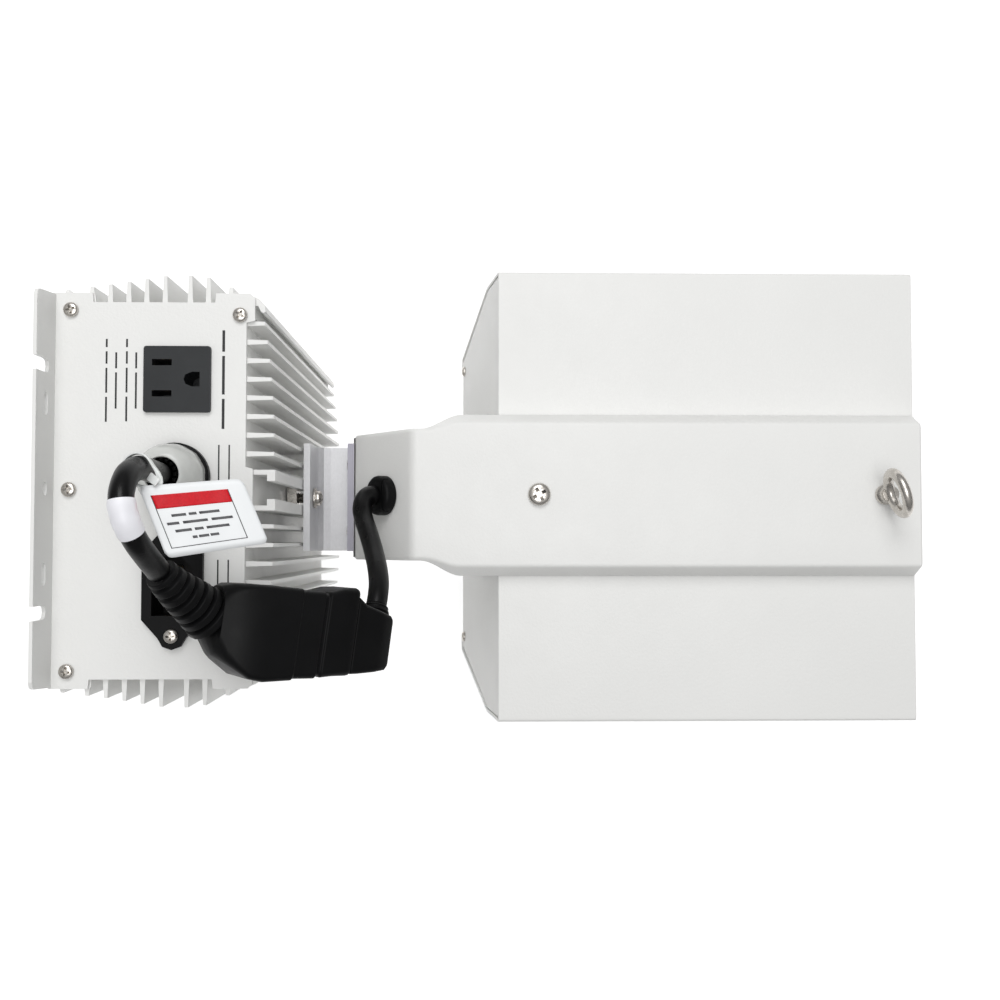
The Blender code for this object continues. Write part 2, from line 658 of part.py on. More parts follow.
def build_end_walls(white, steel):
    t = HOOD_SHEET
    low, shank = RIM + 8, 4.0
    mesh = screw_mesh(steel, "rim_screw", 2.6, 1.7, 1.2, shank, 12)
    for name, plane, side in (("left", left_x, 1), ("right", right_x, -1)):
        near = [(plane(z) + side * 0.5, y, z) for y, z in wall_profile()]
        far = [(plane(z) + side * (0.5 + t), y, z) for y, z in wall_profile()]
        wall = loft(f"{name}_end_wall", white, "hood", [near, far], smooth=False)
        out = Vector((-side, 0, side * FLARE)) if side > 0 else Vector((1, 0, FLARE))
        for i, y in enumerate((73.0, -73.0)):
            seat = (plane(low) + side * (0.5 - GAP), y, low)
            back = Vector(seat) - out.normalized() * 6
            boolean(wall, rod(f"{name}_rim_hole_{i}", white, "hood", tuple(back), tuple(out), 1.6, 9, 8))
            place_screw(f"{name}_rim_screw_{i + 1}", mesh, "hood", seat, tuple(out))
        if side > 0:
            boolean(wall, rod("lamp_hole", white, "hood", (160, 0, LAMP_Z), (1, 0, 0), 19, 30, 24))


def build_reflector(mirror):
    outer = [(76.0, -50), (95.5, 28), (70, 49), (24, 57)]
    inner = [(75.0, -50), (94.3, 27.4), (69.4, 47.9), (23.8, 56)]
    sheet("reflector", mirror, mirrored(outer), mirrored(inner), 7, 7)


def blend(x, x0, x1):
    t = min(1.0, max(0.0, (x - x0) / (x1 - x0)))
    return t * t * (3 - 2 * t)


def cover_section(x, inset):
    """The neck and spine cover's section at x, inset by a wall thickness."""
    widen = blend(x, 145, 163)
    base = NECK_HALF + 7.0 * widen - inset
    bevel = 1.4 + 2.9 * widen
    rise = (SPINE_TOP - NECK_TOP) / (SLOPE_END - NECK_X)
    top = min(NECK_TOP + (x - NECK_X) * rise - inset * 1.6, SPINE_TOP - inset)
    low = NECK_FLOOR + (ROOF + GAP - NECK_FLOOR) * min(1.0, max(0.0, (x - 170.6) / 8.85))
    low -= 5 if inset else 0
    shoulder = max(top - (1.4 + 7.4 * widen), low + 0.6)
    return [(x, -base, low), (x, -base, shoulder), (x, -base + bevel, top), (x, base - bevel, top),
            (x, base, shoulder), (x, base, low)]


def build_cover(white):
    """Neck and spine in one pressed cover, open below."""
    t = HOOD_SHEET
    curve = [141.4, 145, 148, 151, 154, 157, 160, 163, 170.6, 179.45]
    cover = loft("spine_cover", white, "hood",
                 [cover_section(x, 0) for x in [NECK_X, *curve, HOOD_X[1]]])
    hollow = loft("cover_hollow", white, "hood",
                  [cover_section(x, t) for x in [NECK_X + t, *curve, HOOD_X[1] - t]])
    boolean(cover, hollow)
    for name, x, radius in (("cover_screw_hole", SPINE_SCREW_X, 2.9), ("cover_eye_hole", EYE_X, 3.3)):
        boolean(cover, rod(name, white, "hood", (x, 0, SPINE_TOP - 5), (0, 0, 1), radius, 8))
    for i, side in enumerate((1, -1)):
        boolean(cover, rod(f"neck_hole_{i}", white, "hood", (NECK_X - 2, side * 16, BOLT_Z), (1, 0, 0),
                           2.3, 6))
    rise = (SPINE_TOP - NECK_TOP) / (SLOPE_END - NECK_X)
    z = NECK_TOP + (BUSHING_X - NECK_X) * rise
    boolean(cover, rod("relief_hole", white, "hood", (BUSHING_X + 3.9, 0, z - 3.13), (-0.78, 0, 0.626), 6.6,
                       10, 20))


def build_lamp(ceramic, steel, glass, white):
    half = NECK_HALF - HOOD_SHEET - GAP
    prism("neck_floor", white, "hood", rounded(NECK_X + HOOD_SHEET + GAP, 169.8, -half, half, 1, 1), "z",
          NECK_FLOOR, NECK_FLOOR + HOOD_SHEET)
    prism("socket_bracket", steel, "hood",
          rounded(-half + 0.3, half - 0.3, NECK_FLOOR + HOOD_SHEET + GAP, 58, 2, 2), "x", 136, 137.5,
          [circle(0, LAMP_Z, 6, 12)])
    axis = (1, 0, 0)
    socket = [(0, 0), (17, 0), (17, 34), (15.5, 34), (15.5, 22), (0, 22)]
    turned("lamp_socket", ceramic, "hood", socket, (137.8, 0, LAMP_Z), axis, 24)
    base = [(0, 0), (15.1, 0), (15.1, 18), (13.4, 24), (0, 24)]
    turned("lamp_base", ceramic, "lamp", base, (160.1, 0, LAMP_Z), axis, 24)
    dome = [(16 * math.cos(math.radians(a)), 128 + 14 * math.sin(math.radians(a))) for a in (0, 30, 60)]
    hollow = [(14.8 * math.cos(math.radians(a)), 128 + 12.8 * math.sin(math.radians(a)))
              for a in (60, 30, 0)]
    shell = [(13, 0), (16, 5), *dome, (0, 142), (0, 140.8), *hollow, (14.8, 5.5), (11.8, 0)]
    turned("lamp_envelope", glass, "lamp", shell, (184.4, 0, LAMP_Z), axis, 20, closed=True)
    tube_shape = [(0, 0), (1.5, 0), (1.5, 62), (3, 64), (3, 68), (6.5, 72), (6.5, 96), (3, 100), (3, 104),
                  (1, 105), (1, 126), (0, 126)]
    turned("arc_tube", ceramic, "lamp", tube_shape, (184.5, 0, LAMP_Z), axis, 12)


def build_hood_hardware(steel):
    screw = screw_mesh(steel, "spine_screw", 5.0, 2.9, 2.5, 15, 16)
    place_screw("spine_screw", screw, "hood", (SPINE_SCREW_X, 0, SPINE_TOP + GAP), (0, 0, 1))
    stem = [(0, -16.2), (2.9, -16.2), (2.9, 0), (4.5, 0), (4.5, 2.2), (3.2, 3.6), (3.2, 7.8), (0, 7.8)]
    seat = (EYE_X, 0, SPINE_TOP + GAP)
    eyebolt = turned("eyebolt", steel, "eyebolt", stem, seat, count=16)
    turn = Matrix.Rotation(math.radians(17), 3, "Z") @ Matrix.Rotation(math.radians(90), 3, "Y")
    bm = bmesh.new()
    rings = []
    for i in range(24):
        angle = 2 * math.pi * i / 24
        spoke = Vector((math.cos(angle), math.sin(angle), 0))
        rings.append([bm.verts.new(spoke * (9.0 + a) + Vector((0, 0, b))) for a, b in circle(0, 0, 2.3, 10)])
    for a, b in zip(rings, rings[1:] + rings[:1]):
        join_rings(bm, a, b)
    eye = finish(bm, "eye_ring", steel, "eyebolt", (EYE_X, 0, SPINE_TOP + GAP + 16.2), turn)
    boolean(eyebolt, eye, "UNION")
    prism("eyebolt_nut", steel, "eyebolt", circle(EYE_X, 0, 5.6, 6), "z", 58.4, 63.2,
          [circle(EYE_X, 0, 3.2, 12)], smooth=False)


def build_internals(board, ferrite, sleeve):
    prism("circuit_board", board, "ballast", rounded(-68, 68, -92, 90, 1, 1), "x", 10.5, 12.1)
    windows = [[(17, 7), (45, 7), (45, 17), (17, 17)], [(17, -17), (45, -17), (45, -7), (17, -7)]]
    prism("choke_core", ferrite, "ballast", [(12.5, -24), (50, -24), (50, 24), (12.5, 24)], "y", -10, 10,
          windows, smooth=False)
    shape = [(0, 0), (12.5, 0), (12.5, 38), (11.5, 39.5), (0, 39.5)]
    turned("capacitor", sleeve, "ballast", shape, (12.4, 45, -50), (1, 0, 0), 16)


def build():
    clear_scene()
    add_body("ballast")
    add_body("slider", 91.6, 0, BOLT_Z)
    add_body("hood", BRACKET_X[0], 0, BOLT_Z)
    add_body("tag", *TIE)
    add_body("eyebolt", EYE_X, 0, SPINE_TOP)
    add_body("lamp", 160.1, 0, LAMP_Z)
    white = add_material("white_powder_coat", (0.80, 0.80, 0.78), 0.45)
    black = add_material("black_plastic", (0.013, 0.013, 0.014), 0.4)
    slate = add_material("slate_plastic", (0.04, 0.045, 0.05), 0.45)
    grey = add_material("grey_nylon", (0.62, 0.62, 0.60), 0.25)
    steel = add_material("plated_steel", (0.62, 0.60, 0.57), 0.25, 1.0)
    aluminium = add_material("bare_aluminium", (0.75, 0.75, 0.76), 0.35, 1.0)
    mirror = add_material("reflector_aluminium", (0.9, 0.9, 0.9), 0.12, 1.0)
    brass = add_material("brass", (0.75, 0.55, 0.25), 0.3, 1.0)
    paper = add_material("white_label", (0.85, 0.85, 0.86), 0.5)
    ceramic = add_material("ceramic", (0.85, 0.84, 0.80), 0.5)
    glass = add_material("glass", (0.9, 0.93, 0.95), 0.05)
    board = add_material("circuit_board", (0.03, 0.16, 0.06), 0.5)
    ferrite = add_material("ferrite", (0.05, 0.05, 0.05), 0.7)
    build_housing(white)
    build_back_plate(white)
    build_end_plates(white, steel)
    build_outlet(slate)
    build_inlet(black, brass, steel)
    build_gland(black, grey)
    build_leads(black, paper, grey)
    build_bracket(aluminium, steel)
    build_shell(white)
    build_end_walls(white, steel)
    build_reflector(mirror)
    build_cover(white)
    build_lamp(ceramic, steel, glass, white)
    build_hood_hardware(steel)
    build_internals(board, ferrite, black)


build()
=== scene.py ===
"""Looks of the grow lamp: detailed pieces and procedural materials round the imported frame."""
import json
import math

import bmesh
import bpy
from mathutils import Matrix, Vector

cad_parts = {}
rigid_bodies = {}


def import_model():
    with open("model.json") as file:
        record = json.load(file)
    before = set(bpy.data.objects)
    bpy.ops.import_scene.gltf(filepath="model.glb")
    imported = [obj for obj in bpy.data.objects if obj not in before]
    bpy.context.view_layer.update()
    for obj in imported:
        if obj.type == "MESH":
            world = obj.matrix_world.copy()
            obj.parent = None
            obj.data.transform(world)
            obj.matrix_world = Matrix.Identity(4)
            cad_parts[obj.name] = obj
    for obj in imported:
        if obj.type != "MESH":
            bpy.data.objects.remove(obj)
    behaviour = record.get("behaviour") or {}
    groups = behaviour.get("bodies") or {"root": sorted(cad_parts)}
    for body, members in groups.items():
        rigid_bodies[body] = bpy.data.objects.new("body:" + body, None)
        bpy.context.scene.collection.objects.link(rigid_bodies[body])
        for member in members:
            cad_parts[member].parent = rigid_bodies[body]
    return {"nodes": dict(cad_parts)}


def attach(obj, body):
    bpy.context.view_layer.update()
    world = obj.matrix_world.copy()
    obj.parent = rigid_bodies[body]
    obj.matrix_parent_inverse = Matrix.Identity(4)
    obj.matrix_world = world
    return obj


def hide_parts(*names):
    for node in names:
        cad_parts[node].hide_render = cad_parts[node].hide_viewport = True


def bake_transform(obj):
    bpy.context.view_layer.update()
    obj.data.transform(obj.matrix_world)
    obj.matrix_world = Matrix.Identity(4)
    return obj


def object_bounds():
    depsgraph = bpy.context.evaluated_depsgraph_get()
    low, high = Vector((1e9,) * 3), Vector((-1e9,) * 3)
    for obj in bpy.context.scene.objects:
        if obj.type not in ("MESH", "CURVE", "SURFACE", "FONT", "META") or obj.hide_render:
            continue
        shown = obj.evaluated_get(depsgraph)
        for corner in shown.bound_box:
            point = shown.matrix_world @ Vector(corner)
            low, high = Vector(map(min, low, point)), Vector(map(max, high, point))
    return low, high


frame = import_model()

CAD_BOX = [list(corner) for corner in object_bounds()]
NODES = frame["nodes"]
MM = 0.001

# X in the outlines below is measured from this plane, which is in front of the mounting face.
DATUM = Vector((2.8, 0, 0))


# Camera, light and floor ---------------------------------------------------------------------------

CAMERA_PLACE = Vector((0.1722, -0.0212, 0.585))
CAMERA_TARGET = Vector((0.1824, -0.00406, 0.117))
LIGHT_TARGET = Vector((0.18, 0, 0.05))
FLOOR_HALF, FLOOR_GAP = 4.0, 0.02


def make_camera():
    """Nearly straight down on the lamp, with the ballast on the left."""
    back = (CAMERA_PLACE - CAMERA_TARGET).normalized()
    right = Vector((0, 1, 0)).cross(back).normalized()
    up = back.cross(right)
    data = bpy.data.cameras.new("camera")
    data.lens, data.sensor_width = 41.3, 36.0
    camera = bpy.data.objects.new("camera", data)
    bpy.context.collection.objects.link(camera)
    turn = Matrix((right, up, back)).transposed().to_4x4()
    camera.matrix_world = Matrix.Translation(CAMERA_PLACE) @ turn
    bpy.context.scene.camera = camera


def area_light(name, place, size, power):
    """A round soft light aimed at the middle of the lamp."""
    data = bpy.data.lights.new(name, "AREA")
    data.shape, data.size, data.energy = "DISK", size, power
    light = bpy.data.objects.new(name, data)
    bpy.context.collection.objects.link(light)
    light.location = place
    light.rotation_euler = (Vector(place) - LIGHT_TARGET).to_track_quat("Z", "Y").to_euler()


def make_sky():
    """A softbox sky: bright overhead and toward +Y, dim toward the horizon."""
    world = bpy.data.worlds.new("studio")
    world.use_nodes = True
    tree = world.node_tree
    coords = tree.nodes.new("ShaderNodeTexCoord")
    lean = tree.nodes.new("ShaderNodeVectorMath")
    lean.operation = "DOT_PRODUCT"
    lean.inputs[1].default_value = (-0.06, 0.22, 0.97)
    reach = tree.nodes.new("ShaderNodeMapRange")
    for socket, value in (("From Min", -0.10), ("From Max", 0.95), ("To Min", 0.16), ("To Max", 0.51)):
        reach.inputs[socket].default_value = value
    tree.links.new(coords.outputs["Generated"], lean.inputs[0])
    tree.links.new(lean.outputs["Value"], reach.inputs["Value"])
    tree.links.new(reach.outputs["Result"], tree.nodes["Background"].inputs["Strength"])
    tree.nodes["Background"].inputs["Color"].default_value = (1, 1, 1, 1)
    bpy.context.scene.world = world


def make_floor():
    """A pale floor just under the lamp, which fills the view."""
    floor_data = bpy.data.meshes.new("floor")
    low = CAD_BOX[0][2] - FLOOR_GAP
    corners = [(x * FLOOR_HALF, y * FLOOR_HALF, low) for x, y in ((-1, -1), (1, -1), (1, 1), (-1, 1))]
    floor_data.from_pydata(corners, [], [(0, 1, 2, 3)])
    floor = bpy.data.objects.new("floor", floor_data)
    bpy.context.collection.objects.link(floor)
    mat = bpy.data.materials.new("pale_floor")
    mat.use_nodes = True
    shader = mat.node_tree.nodes["Principled BSDF"]
    shader.inputs["Base Color"].default_value = (0.9, 0.9, 0.9, 1)
    shader.inputs["Roughness"].default_value = 0.9
    shader.inputs["Emission Color"].default_value = (1, 1, 1, 1)
    shader.inputs["Emission Strength"].default_value = 0.5
    floor_data.materials.append(mat)


def make_studio():
    """Two soft lamps, a softbox sky and the floor, shown without a tone curve."""
    bpy.context.scene.view_settings.view_transform = "Standard"
    make_sky()
    area_light("overhead", (0.10, 0.75, 1.15), 0.7, 6.0)
    area_light("front", (0.22, -0.10, 1.5), 0.9, 6.9)
    make_floor()


# Materials -----------------------------------------------------------------------------------------

class Recipe:
    """A Principled material with helpers for the noise that varies its colour, gloss and relief."""

    def __init__(self, name, colour, roughness, metallic=0.0):
        self.mat = bpy.data.materials.new(name)
        self.mat.use_nodes = True
        self.tree = self.mat.node_tree
        self.shader = self.tree.nodes["Principled BSDF"]
        self.set("Base Color", (*colour, 1.0))
        self.set("Roughness", roughness)
        self.set("Metallic", metallic)
        self.coords = self.tree.nodes.new("ShaderNodeTexCoord").outputs["Object"]
        self.height = None

    def set(self, socket, value):
        self.shader.inputs[socket].default_value = value
        return self

    def node(self, kind, **inputs):
        made = self.tree.nodes.new(kind)
        for key, value in inputs.items():
            made.inputs[key].default_value = value
        return made

    def mapped(self, stretch=(1, 1, 1)):
        mapping = self.node("ShaderNodeMapping", Scale=stretch)
        self.tree.links.new(self.coords, mapping.inputs["Vector"])
        return mapping.outputs[0]

    def noise(self, scale, detail=2.0, stretch=(1, 1, 1), rough=0.5):
        made = self.node("ShaderNodeTexNoise", Scale=scale, Detail=detail, Roughness=rough)
        self.tree.links.new(self.mapped(stretch), made.inputs["Vector"])
        return made.outputs["Fac"]

    def cells(self, scale, feature="F1"):
        made = self.node("ShaderNodeTexVoronoi", Scale=scale)
        made.feature = feature
        self.tree.links.new(self.mapped(), made.inputs["Vector"])
        return made.outputs["Distance"]

    def ramp(self, value, stops):
        made = self.tree.nodes.new("ShaderNodeValToRGB")
        elements = made.color_ramp.elements
        while len(elements) < len(stops):
            elements.new(0.5)
        for element, (place, colour) in zip(elements, stops):
            element.position, element.color = place, (*colour, 1.0)
        self.tree.links.new(value, made.inputs["Fac"])
        return made.outputs["Color"]

    def between(self, value, low, high):
        """A noise value, which mostly lies between 0.25 and 0.75, spread from low to high."""
        made = self.node("ShaderNodeMapRange", **{"From Min": 0.25, "From Max": 0.75,
                                                  "To Min": low, "To Max": high})
        self.tree.links.new(value, made.inputs["Value"])
        return made.outputs[0]

    def colour(self, value, dark, light, low=0.3, high=0.7):
        self.tree.links.new(self.ramp(value, [(low, dark), (high, light)]), self.shader.inputs["Base Color"])
        return self

    def gloss(self, value, low, high):
        self.tree.links.new(self.between(value, low, high), self.shader.inputs["Roughness"])
        return self

    def relief(self, value, depth, strength=1.0):
        """Add surface relief of a depth in metres."""
        bump = self.node("ShaderNodeBump", Distance=depth, Strength=strength)
        self.tree.links.new(value, bump.inputs["Height"])
        if self.height is not None:
            self.tree.links.new(self.height, bump.inputs["Normal"])
        self.height = bump.outputs["Normal"]
        self.tree.links.new(self.height, self.shader.inputs["Normal"])
        return self


def shades(colour, amount):
    """A colour a little darker and a little lighter, by a share of itself."""
    return tuple(c * (1 - amount) for c in colour), tuple(min(1, c * (1 + amount)) for c in colour)


def powder_coat(name, colour):
    """Baked powder coat: a fine orange peel over a slow drift of tone."""
    grain = 1300
    r = Recipe(name, colour, 0.5)
    r.colour(r.noise(22, 4), *shades(colour, 0.012))
    r.gloss(r.noise(90, 3), 0.40, 0.54)
    r.relief(r.noise(grain, 3, rough=0.6), 0.00007)
    r.relief(r.cells(grain * 0.55), 0.00004)
    return r.set("Specular IOR Level", 0.42).mat


def moulded(name, colour, roughness, grain=900, depth=0.00003, level=0.5):
    """Moulded plastic with a light spark-eroded grain and handling marks."""
    r = Recipe(name, colour, roughness)
    r.colour(r.noise(60, 4), *shades(colour, 0.18))
    r.gloss(r.noise(45, 5, rough=0.65), roughness - 0.07, roughness + 0.10)
    r.relief(r.noise(grain, 3), depth)
    return r.set("Specular IOR Level", level).mat


def jacket(name, colour):
    """Soft cord jacket: slightly wavy, with dull and shiny stretches."""
    r = Recipe(name, colour, 0.38)
    r.colour(r.noise(140, 4), *shades(colour, 0.2))
    r.gloss(r.noise(120, 5, rough=0.7), 0.22, 0.40)
    r.relief(r.noise(300, 2), 0.00008)
    r.relief(r.noise(1500, 2), 0.00003)
    return r.set("Specular IOR Level", 0.20).mat


def plated(name, colour, roughness):
    """Nickel plate: fine tool marks and faint cloudiness."""
    r = Recipe(name, colour, roughness, 1.0)
    r.colour(r.noise(400, 4), *shades(colour, 0.10))
    r.gloss(r.noise(700, 4), roughness - 0.08, roughness + 0.12)
    r.relief(r.noise(1800, 2), 0.00002)
    return r.mat


def brushed(name, colour, roughness, stretch):
    """Drawn aluminium: one stretched grain sets its colour, gloss and relief."""
    r = Recipe(name, colour, roughness, 0.35)
    grain = r.noise(900, 3, stretch)
    r.colour(grain, *shades(colour, 0.05))
    r.gloss(grain, roughness - 0.07, roughness + 0.10)
    r.relief(grain, 0.00002)
    return r.mat


def bright_reflector():
    """Polished sheet, hammered into shallow facets."""
    r = Recipe("bright_reflector", (0.90, 0.90, 0.91), 0.12, 1.0)
    r.colour(r.noise(30, 4), (0.86, 0.86, 0.87), (0.94, 0.94, 0.95))
    r.gloss(r.noise(60, 4), 0.08, 0.20)
    r.relief(r.cells(260, "SMOOTH_F1"), 0.0004, 0.6)
    return r.mat


def ceramic():
    """Unglazed lamp ceramic, faintly mottled."""
    r = Recipe("white_ceramic", (0.80, 0.78, 0.73), 0.55)
    r.colour(r.noise(300, 5), (0.72, 0.70, 0.64), (0.84, 0.82, 0.78))
    r.relief(r.noise(1200, 4), 0.00006)
    return r.mat


def lamp_glass():
    """Clear hard glass."""
    r = Recipe("lamp_glass", (0.97, 0.98, 0.99), 0.02)
    r.gloss(r.noise(80, 3), 0.01, 0.04)
    r.set("Transmission Weight", 1.0).set("IOR", 1.46)
    return r.mat


def translucent_film(name, colour):
    """Soft plastic that lets a little light through."""
    r = Recipe(name, colour, 0.35)
    r.colour(r.noise(200, 3), *shades(colour, 0.03))
    r.gloss(r.noise(150, 3), 0.25, 0.45)
    r.relief(r.noise(120, 3), 0.0001)
    r.set("Subsurface Weight", 0.15).set("Subsurface Radius", (1, 1, 1)).set("Subsurface Scale", 0.001)
    return r.mat


def label_film():
    """The tag's semi-gloss white film."""
    r = Recipe("label_film", (0.84, 0.86, 0.87), 0.42)
    r.colour(r.noise(60, 4), (0.82, 0.84, 0.85), (0.86, 0.88, 0.89))
    r.gloss(r.noise(80, 4), 0.32, 0.50)
    r.relief(r.noise(260, 3), 0.00006)
    return r.mat


def ink(name, colour):
    """Printed ink with slightly uneven coverage."""
    r = Recipe(name, colour, 0.45)
    r.colour(r.noise(1500, 4), *shades(colour, 0.12))
    r.gloss(r.noise(300, 3), 0.38, 0.55)
    return r.set("Specular IOR Level", 0.25).mat


def circuit_green():
    """Solder mask over copper tracks."""
    r = Recipe("circuit_green", (0.02, 0.13, 0.05), 0.35)
    r.colour(r.cells(160, "DISTANCE_TO_EDGE"), (0.05, 0.26, 0.10), (0.015, 0.11, 0.04), 0.03, 0.06)
    r.relief(r.noise(600, 3), 0.00003)
    return r.mat


def sintered():
    """Dull grey ferrite."""
    r = Recipe("ferrite", (0.045, 0.045, 0.047), 0.65, 0.2)
    r.colour(r.noise(900, 5), (0.03, 0.03, 0.03), (0.07, 0.07, 0.075))
    r.relief(r.noise(700, 4), 0.00008)
    return r.mat


WHITE = powder_coat("white_powder", (0.81, 0.81, 0.795))
BLACK = moulded("black_moulding", (0.0036, 0.0037, 0.0040), 0.42, level=0.12)
SLATE = moulded("slate_moulding", (0.019, 0.021, 0.023), 0.45, 700, level=0.3)
JACKET = jacket("black_jacket", (0.003, 0.003, 0.0033))
NYLON = moulded("grey_nylon", (0.58, 0.59, 0.57), 0.22, 500, 0.00001)
STEEL = plated("nickel_plate", (0.60, 0.57, 0.53), 0.26)
ALLOY = brushed("satin_aluminium", (0.66, 0.66, 0.675), 0.46, (1, 0.5, 1))
# Darker violet grey aluminium: painted shade for the bracket leg's top edge, which faces up.
SHADED_EDGE_PAINT = brushed("aluminium_painted_shade", (0.33, 0.32, 0.37), 0.5, (1, 0.5, 1))
MIRROR = bright_reflector()
BRASS = plated("brass_blade", (0.72, 0.52, 0.22), 0.28)
CERAMIC = ceramic()
GLASS = lamp_glass()
FILM = label_film()
SLEEVE = translucent_film("white_sleeve", (0.84, 0.84, 0.88))
STRAP = translucent_film("clear_strap", (0.74, 0.76, 0.75))
RED = ink("red_ink", (0.60, 0.003, 0.012))
DARK_INK = ink("dark_ink", (0.03, 0.03, 0.032))
GREY_INK = ink("grey_ink", (0.10, 0.10, 0.105))
GREEN = circuit_green()
FERRITE = sintered()


# Mesh tools. Lengths in these sections are in millimetres, and become metres in make_piece. ----------

def make_piece(name, bm, mat, body, node=None, angle=35, smooth=True, datum=DATUM):
    """Turn a millimetre mesh into a piece that rides on a body and stands for a CAD node."""
    bmesh.ops.translate(bm, vec=datum, verts=bm.verts)
    bmesh.ops.scale(bm, vec=(MM, MM, MM), verts=bm.verts)
    bmesh.ops.recalc_face_normals(bm, faces=bm.faces)
    mesh = bpy.data.meshes.new(name)
    bm.to_mesh(mesh)
    bm.free()
    mesh.materials.append(mat)
    if smooth:
        mesh.shade_smooth()
        mesh.set_sharp_from_angle(angle=math.radians(angle))
    piece = bpy.data.objects.new(name, mesh)
    bpy.context.collection.objects.link(piece)
    if body:
        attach(piece, body)
    if node:
        stand_for(piece, node)
    return piece


def stand_for(piece, *nodes):
    """Hide the CAD nodes that a piece replaces."""
    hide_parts(*nodes)


def soften(piece, width, segments=2, angle=30):
    """Round a piece's hard edges by a width in millimetres."""
    mod = piece.modifiers.new("soft_edges", "BEVEL")
    mod.width, mod.segments = width * MM, segments
    mod.limit_method, mod.angle_limit = "ANGLE", math.radians(angle)
    mod.harden_normals = True
    return piece


def baked(piece):
    """Apply a piece's modifiers to its mesh."""
    graph = bpy.context.evaluated_depsgraph_get()
    mesh = bpy.data.meshes.new_from_object(piece.evaluated_get(graph))
    piece.modifiers.clear()
    piece.data = mesh
    return piece


def join_rings(bm, a, b):
    """Faces between two closed rings, either of which may be a single point."""
    count = max(len(a), len(b))
    if count == 1:
        return
    for i in range(count):
        j = (i + 1) % count
        if len(a) == 1:
            bm.faces.new((a[0], b[j], b[i]))
        elif len(b) == 1:
            bm.faces.new((a[i], a[j], b[0]))
        else:
            bm.faces.new((a[i], a[j], b[j], b[i]))


def circle(radius, count):
    """Points round a circle about the origin."""
    angles = [2 * math.pi * i / count for i in range(count)]
    return [(radius * math.cos(a), radius * math.sin(a)) for a in angles]


def rounded(half_u, half_v, radius, count):
    """A rectangle about the origin with round corners."""
    points = []
    for cu, cv, start in ((1, 1, 0), (-1, 1, 90), (-1, -1, 180), (1, -1, 270)):
        for i in range(count + 1):
            angle = math.radians(start + 90 * i / count)
            points.append((cu * (half_u - radius) + radius * math.cos(angle),
                           cv * (half_v - radius) + radius * math.sin(angle)))
    return points


def lathe(profile, place=(0, 0, 0), axis=(0, 0, 1), count=40, closed=False, bm=None):
    """Turn (radius, height) points about an axis through a place."""
    bm = bm or bmesh.new()
    turn = Vector((0, 0, 1)).rotation_difference(Vector(axis)).to_matrix()
    rings = []
    for radius, height in profile:
        flat = [(0, 0)] if radius < 1e-6 else circle(radius, count)
        rings.append([bm.verts.new(Vector(place) + turn @ Vector((x, y, height))) for x, y in flat])
    for a, b in zip(rings, rings[1:]):
        join_rings(bm, a, b)
    if closed:
        join_rings(bm, rings[-1], rings[0])
    return bm


def skin(sections):
    """Join closed sections of equal point count and cap both ends."""
    bm = bmesh.new()
    rings = [[bm.verts.new(p) for p in section] for section in sections]
    for a, b in zip(rings, rings[1:]):
        join_rings(bm, a, b)
    bm.faces.new(rings[0])
    bm.faces.new(list(reversed(rings[-1])))
    return bm


def box(bm, low, high):
    """Add a closed box between two opposite corners."""
    corners = [bm.verts.new((x, y, z)) for z in (low[2], high[2])
               for x, y in ((low[0], low[1]), (high[0], low[1]), (high[0], high[1]), (low[0], high[1]))]
    for face in ((3, 2, 1, 0), (4, 5, 6, 7), (0, 1, 5, 4), (1, 2, 6, 5), (2, 3, 7, 6), (3, 0, 4, 7)):
        bm.faces.new([corners[i] for i in face])
    return bm


def cut(piece, *tools):
    """Subtract closed tools from a piece and apply the result."""
    for tool in tools:
        mod = piece.modifiers.new("cut", "BOOLEAN")
        mod.object = tool
    baked(piece)
    for tool in tools:
        bpy.data.objects.remove(tool, do_unlink=True)
    piece.data.shade_smooth()
    piece.data.set_sharp_from_angle(angle=math.radians(35))
    return piece


def frames_along(points):
    """(point, side, other) at each point of a line, turning as little as possible along it."""
    found = []
    side = None
    for i, point in enumerate(points):
        ahead = (points[min(i + 1, len(points) - 1)] - points[max(i - 1, 0)]).normalized()
        side = ahead.cross(Vector((0, 0, 1))) if side is None else side - ahead * side.dot(ahead)
        side = side.normalized()
        found.append((point, side, ahead.cross(side)))
    return found


def smooth_route(route, spacing):
    """Points along a Catmull-Rom curve through a route."""
    knots = [Vector(p) for p in route]
    knots = [knots[0] * 2 - knots[1], *knots, knots[-1] * 2 - knots[-2]]
    dense = []
    for a, b, c, d in zip(knots, knots[1:], knots[2:], knots[3:]):
        for i in range(24):
            t = i / 24
            dense.append(0.5 * (2 * b + (c - a) * t + (2 * a - 5 * b + 4 * c - d) * t * t
                                + (3 * b - a - 3 * c + d) * t ** 3))
    dense.append(knots[-2])
    lengths = [0.0]
    for a, b in zip(dense, dense[1:]):
        lengths.append(lengths[-1] + (b - a).length)
    count = round(lengths[-1] / spacing)
    picked, k = [], 0
    for i in range(count + 1):
        target = lengths[-1] * i / count
        while k < len(lengths) - 2 and lengths[k + 1] < target:
            k += 1
        share = (target - lengths[k]) / max(lengths[k + 1] - lengths[k], 1e-9)
        picked.append(dense[k].lerp(dense[k + 1], min(1.0, share)))
    return picked


def tube_mesh(points, radius, count=24):
    """A closed round tube along a line of points."""
    sections = [[point + side * u + other * v for u, v in circle(radius, count)]
                for point, side, other in frames_along(points)]
    return skin(sections)


# Leads ---------------------------------------------------------------------------------------------

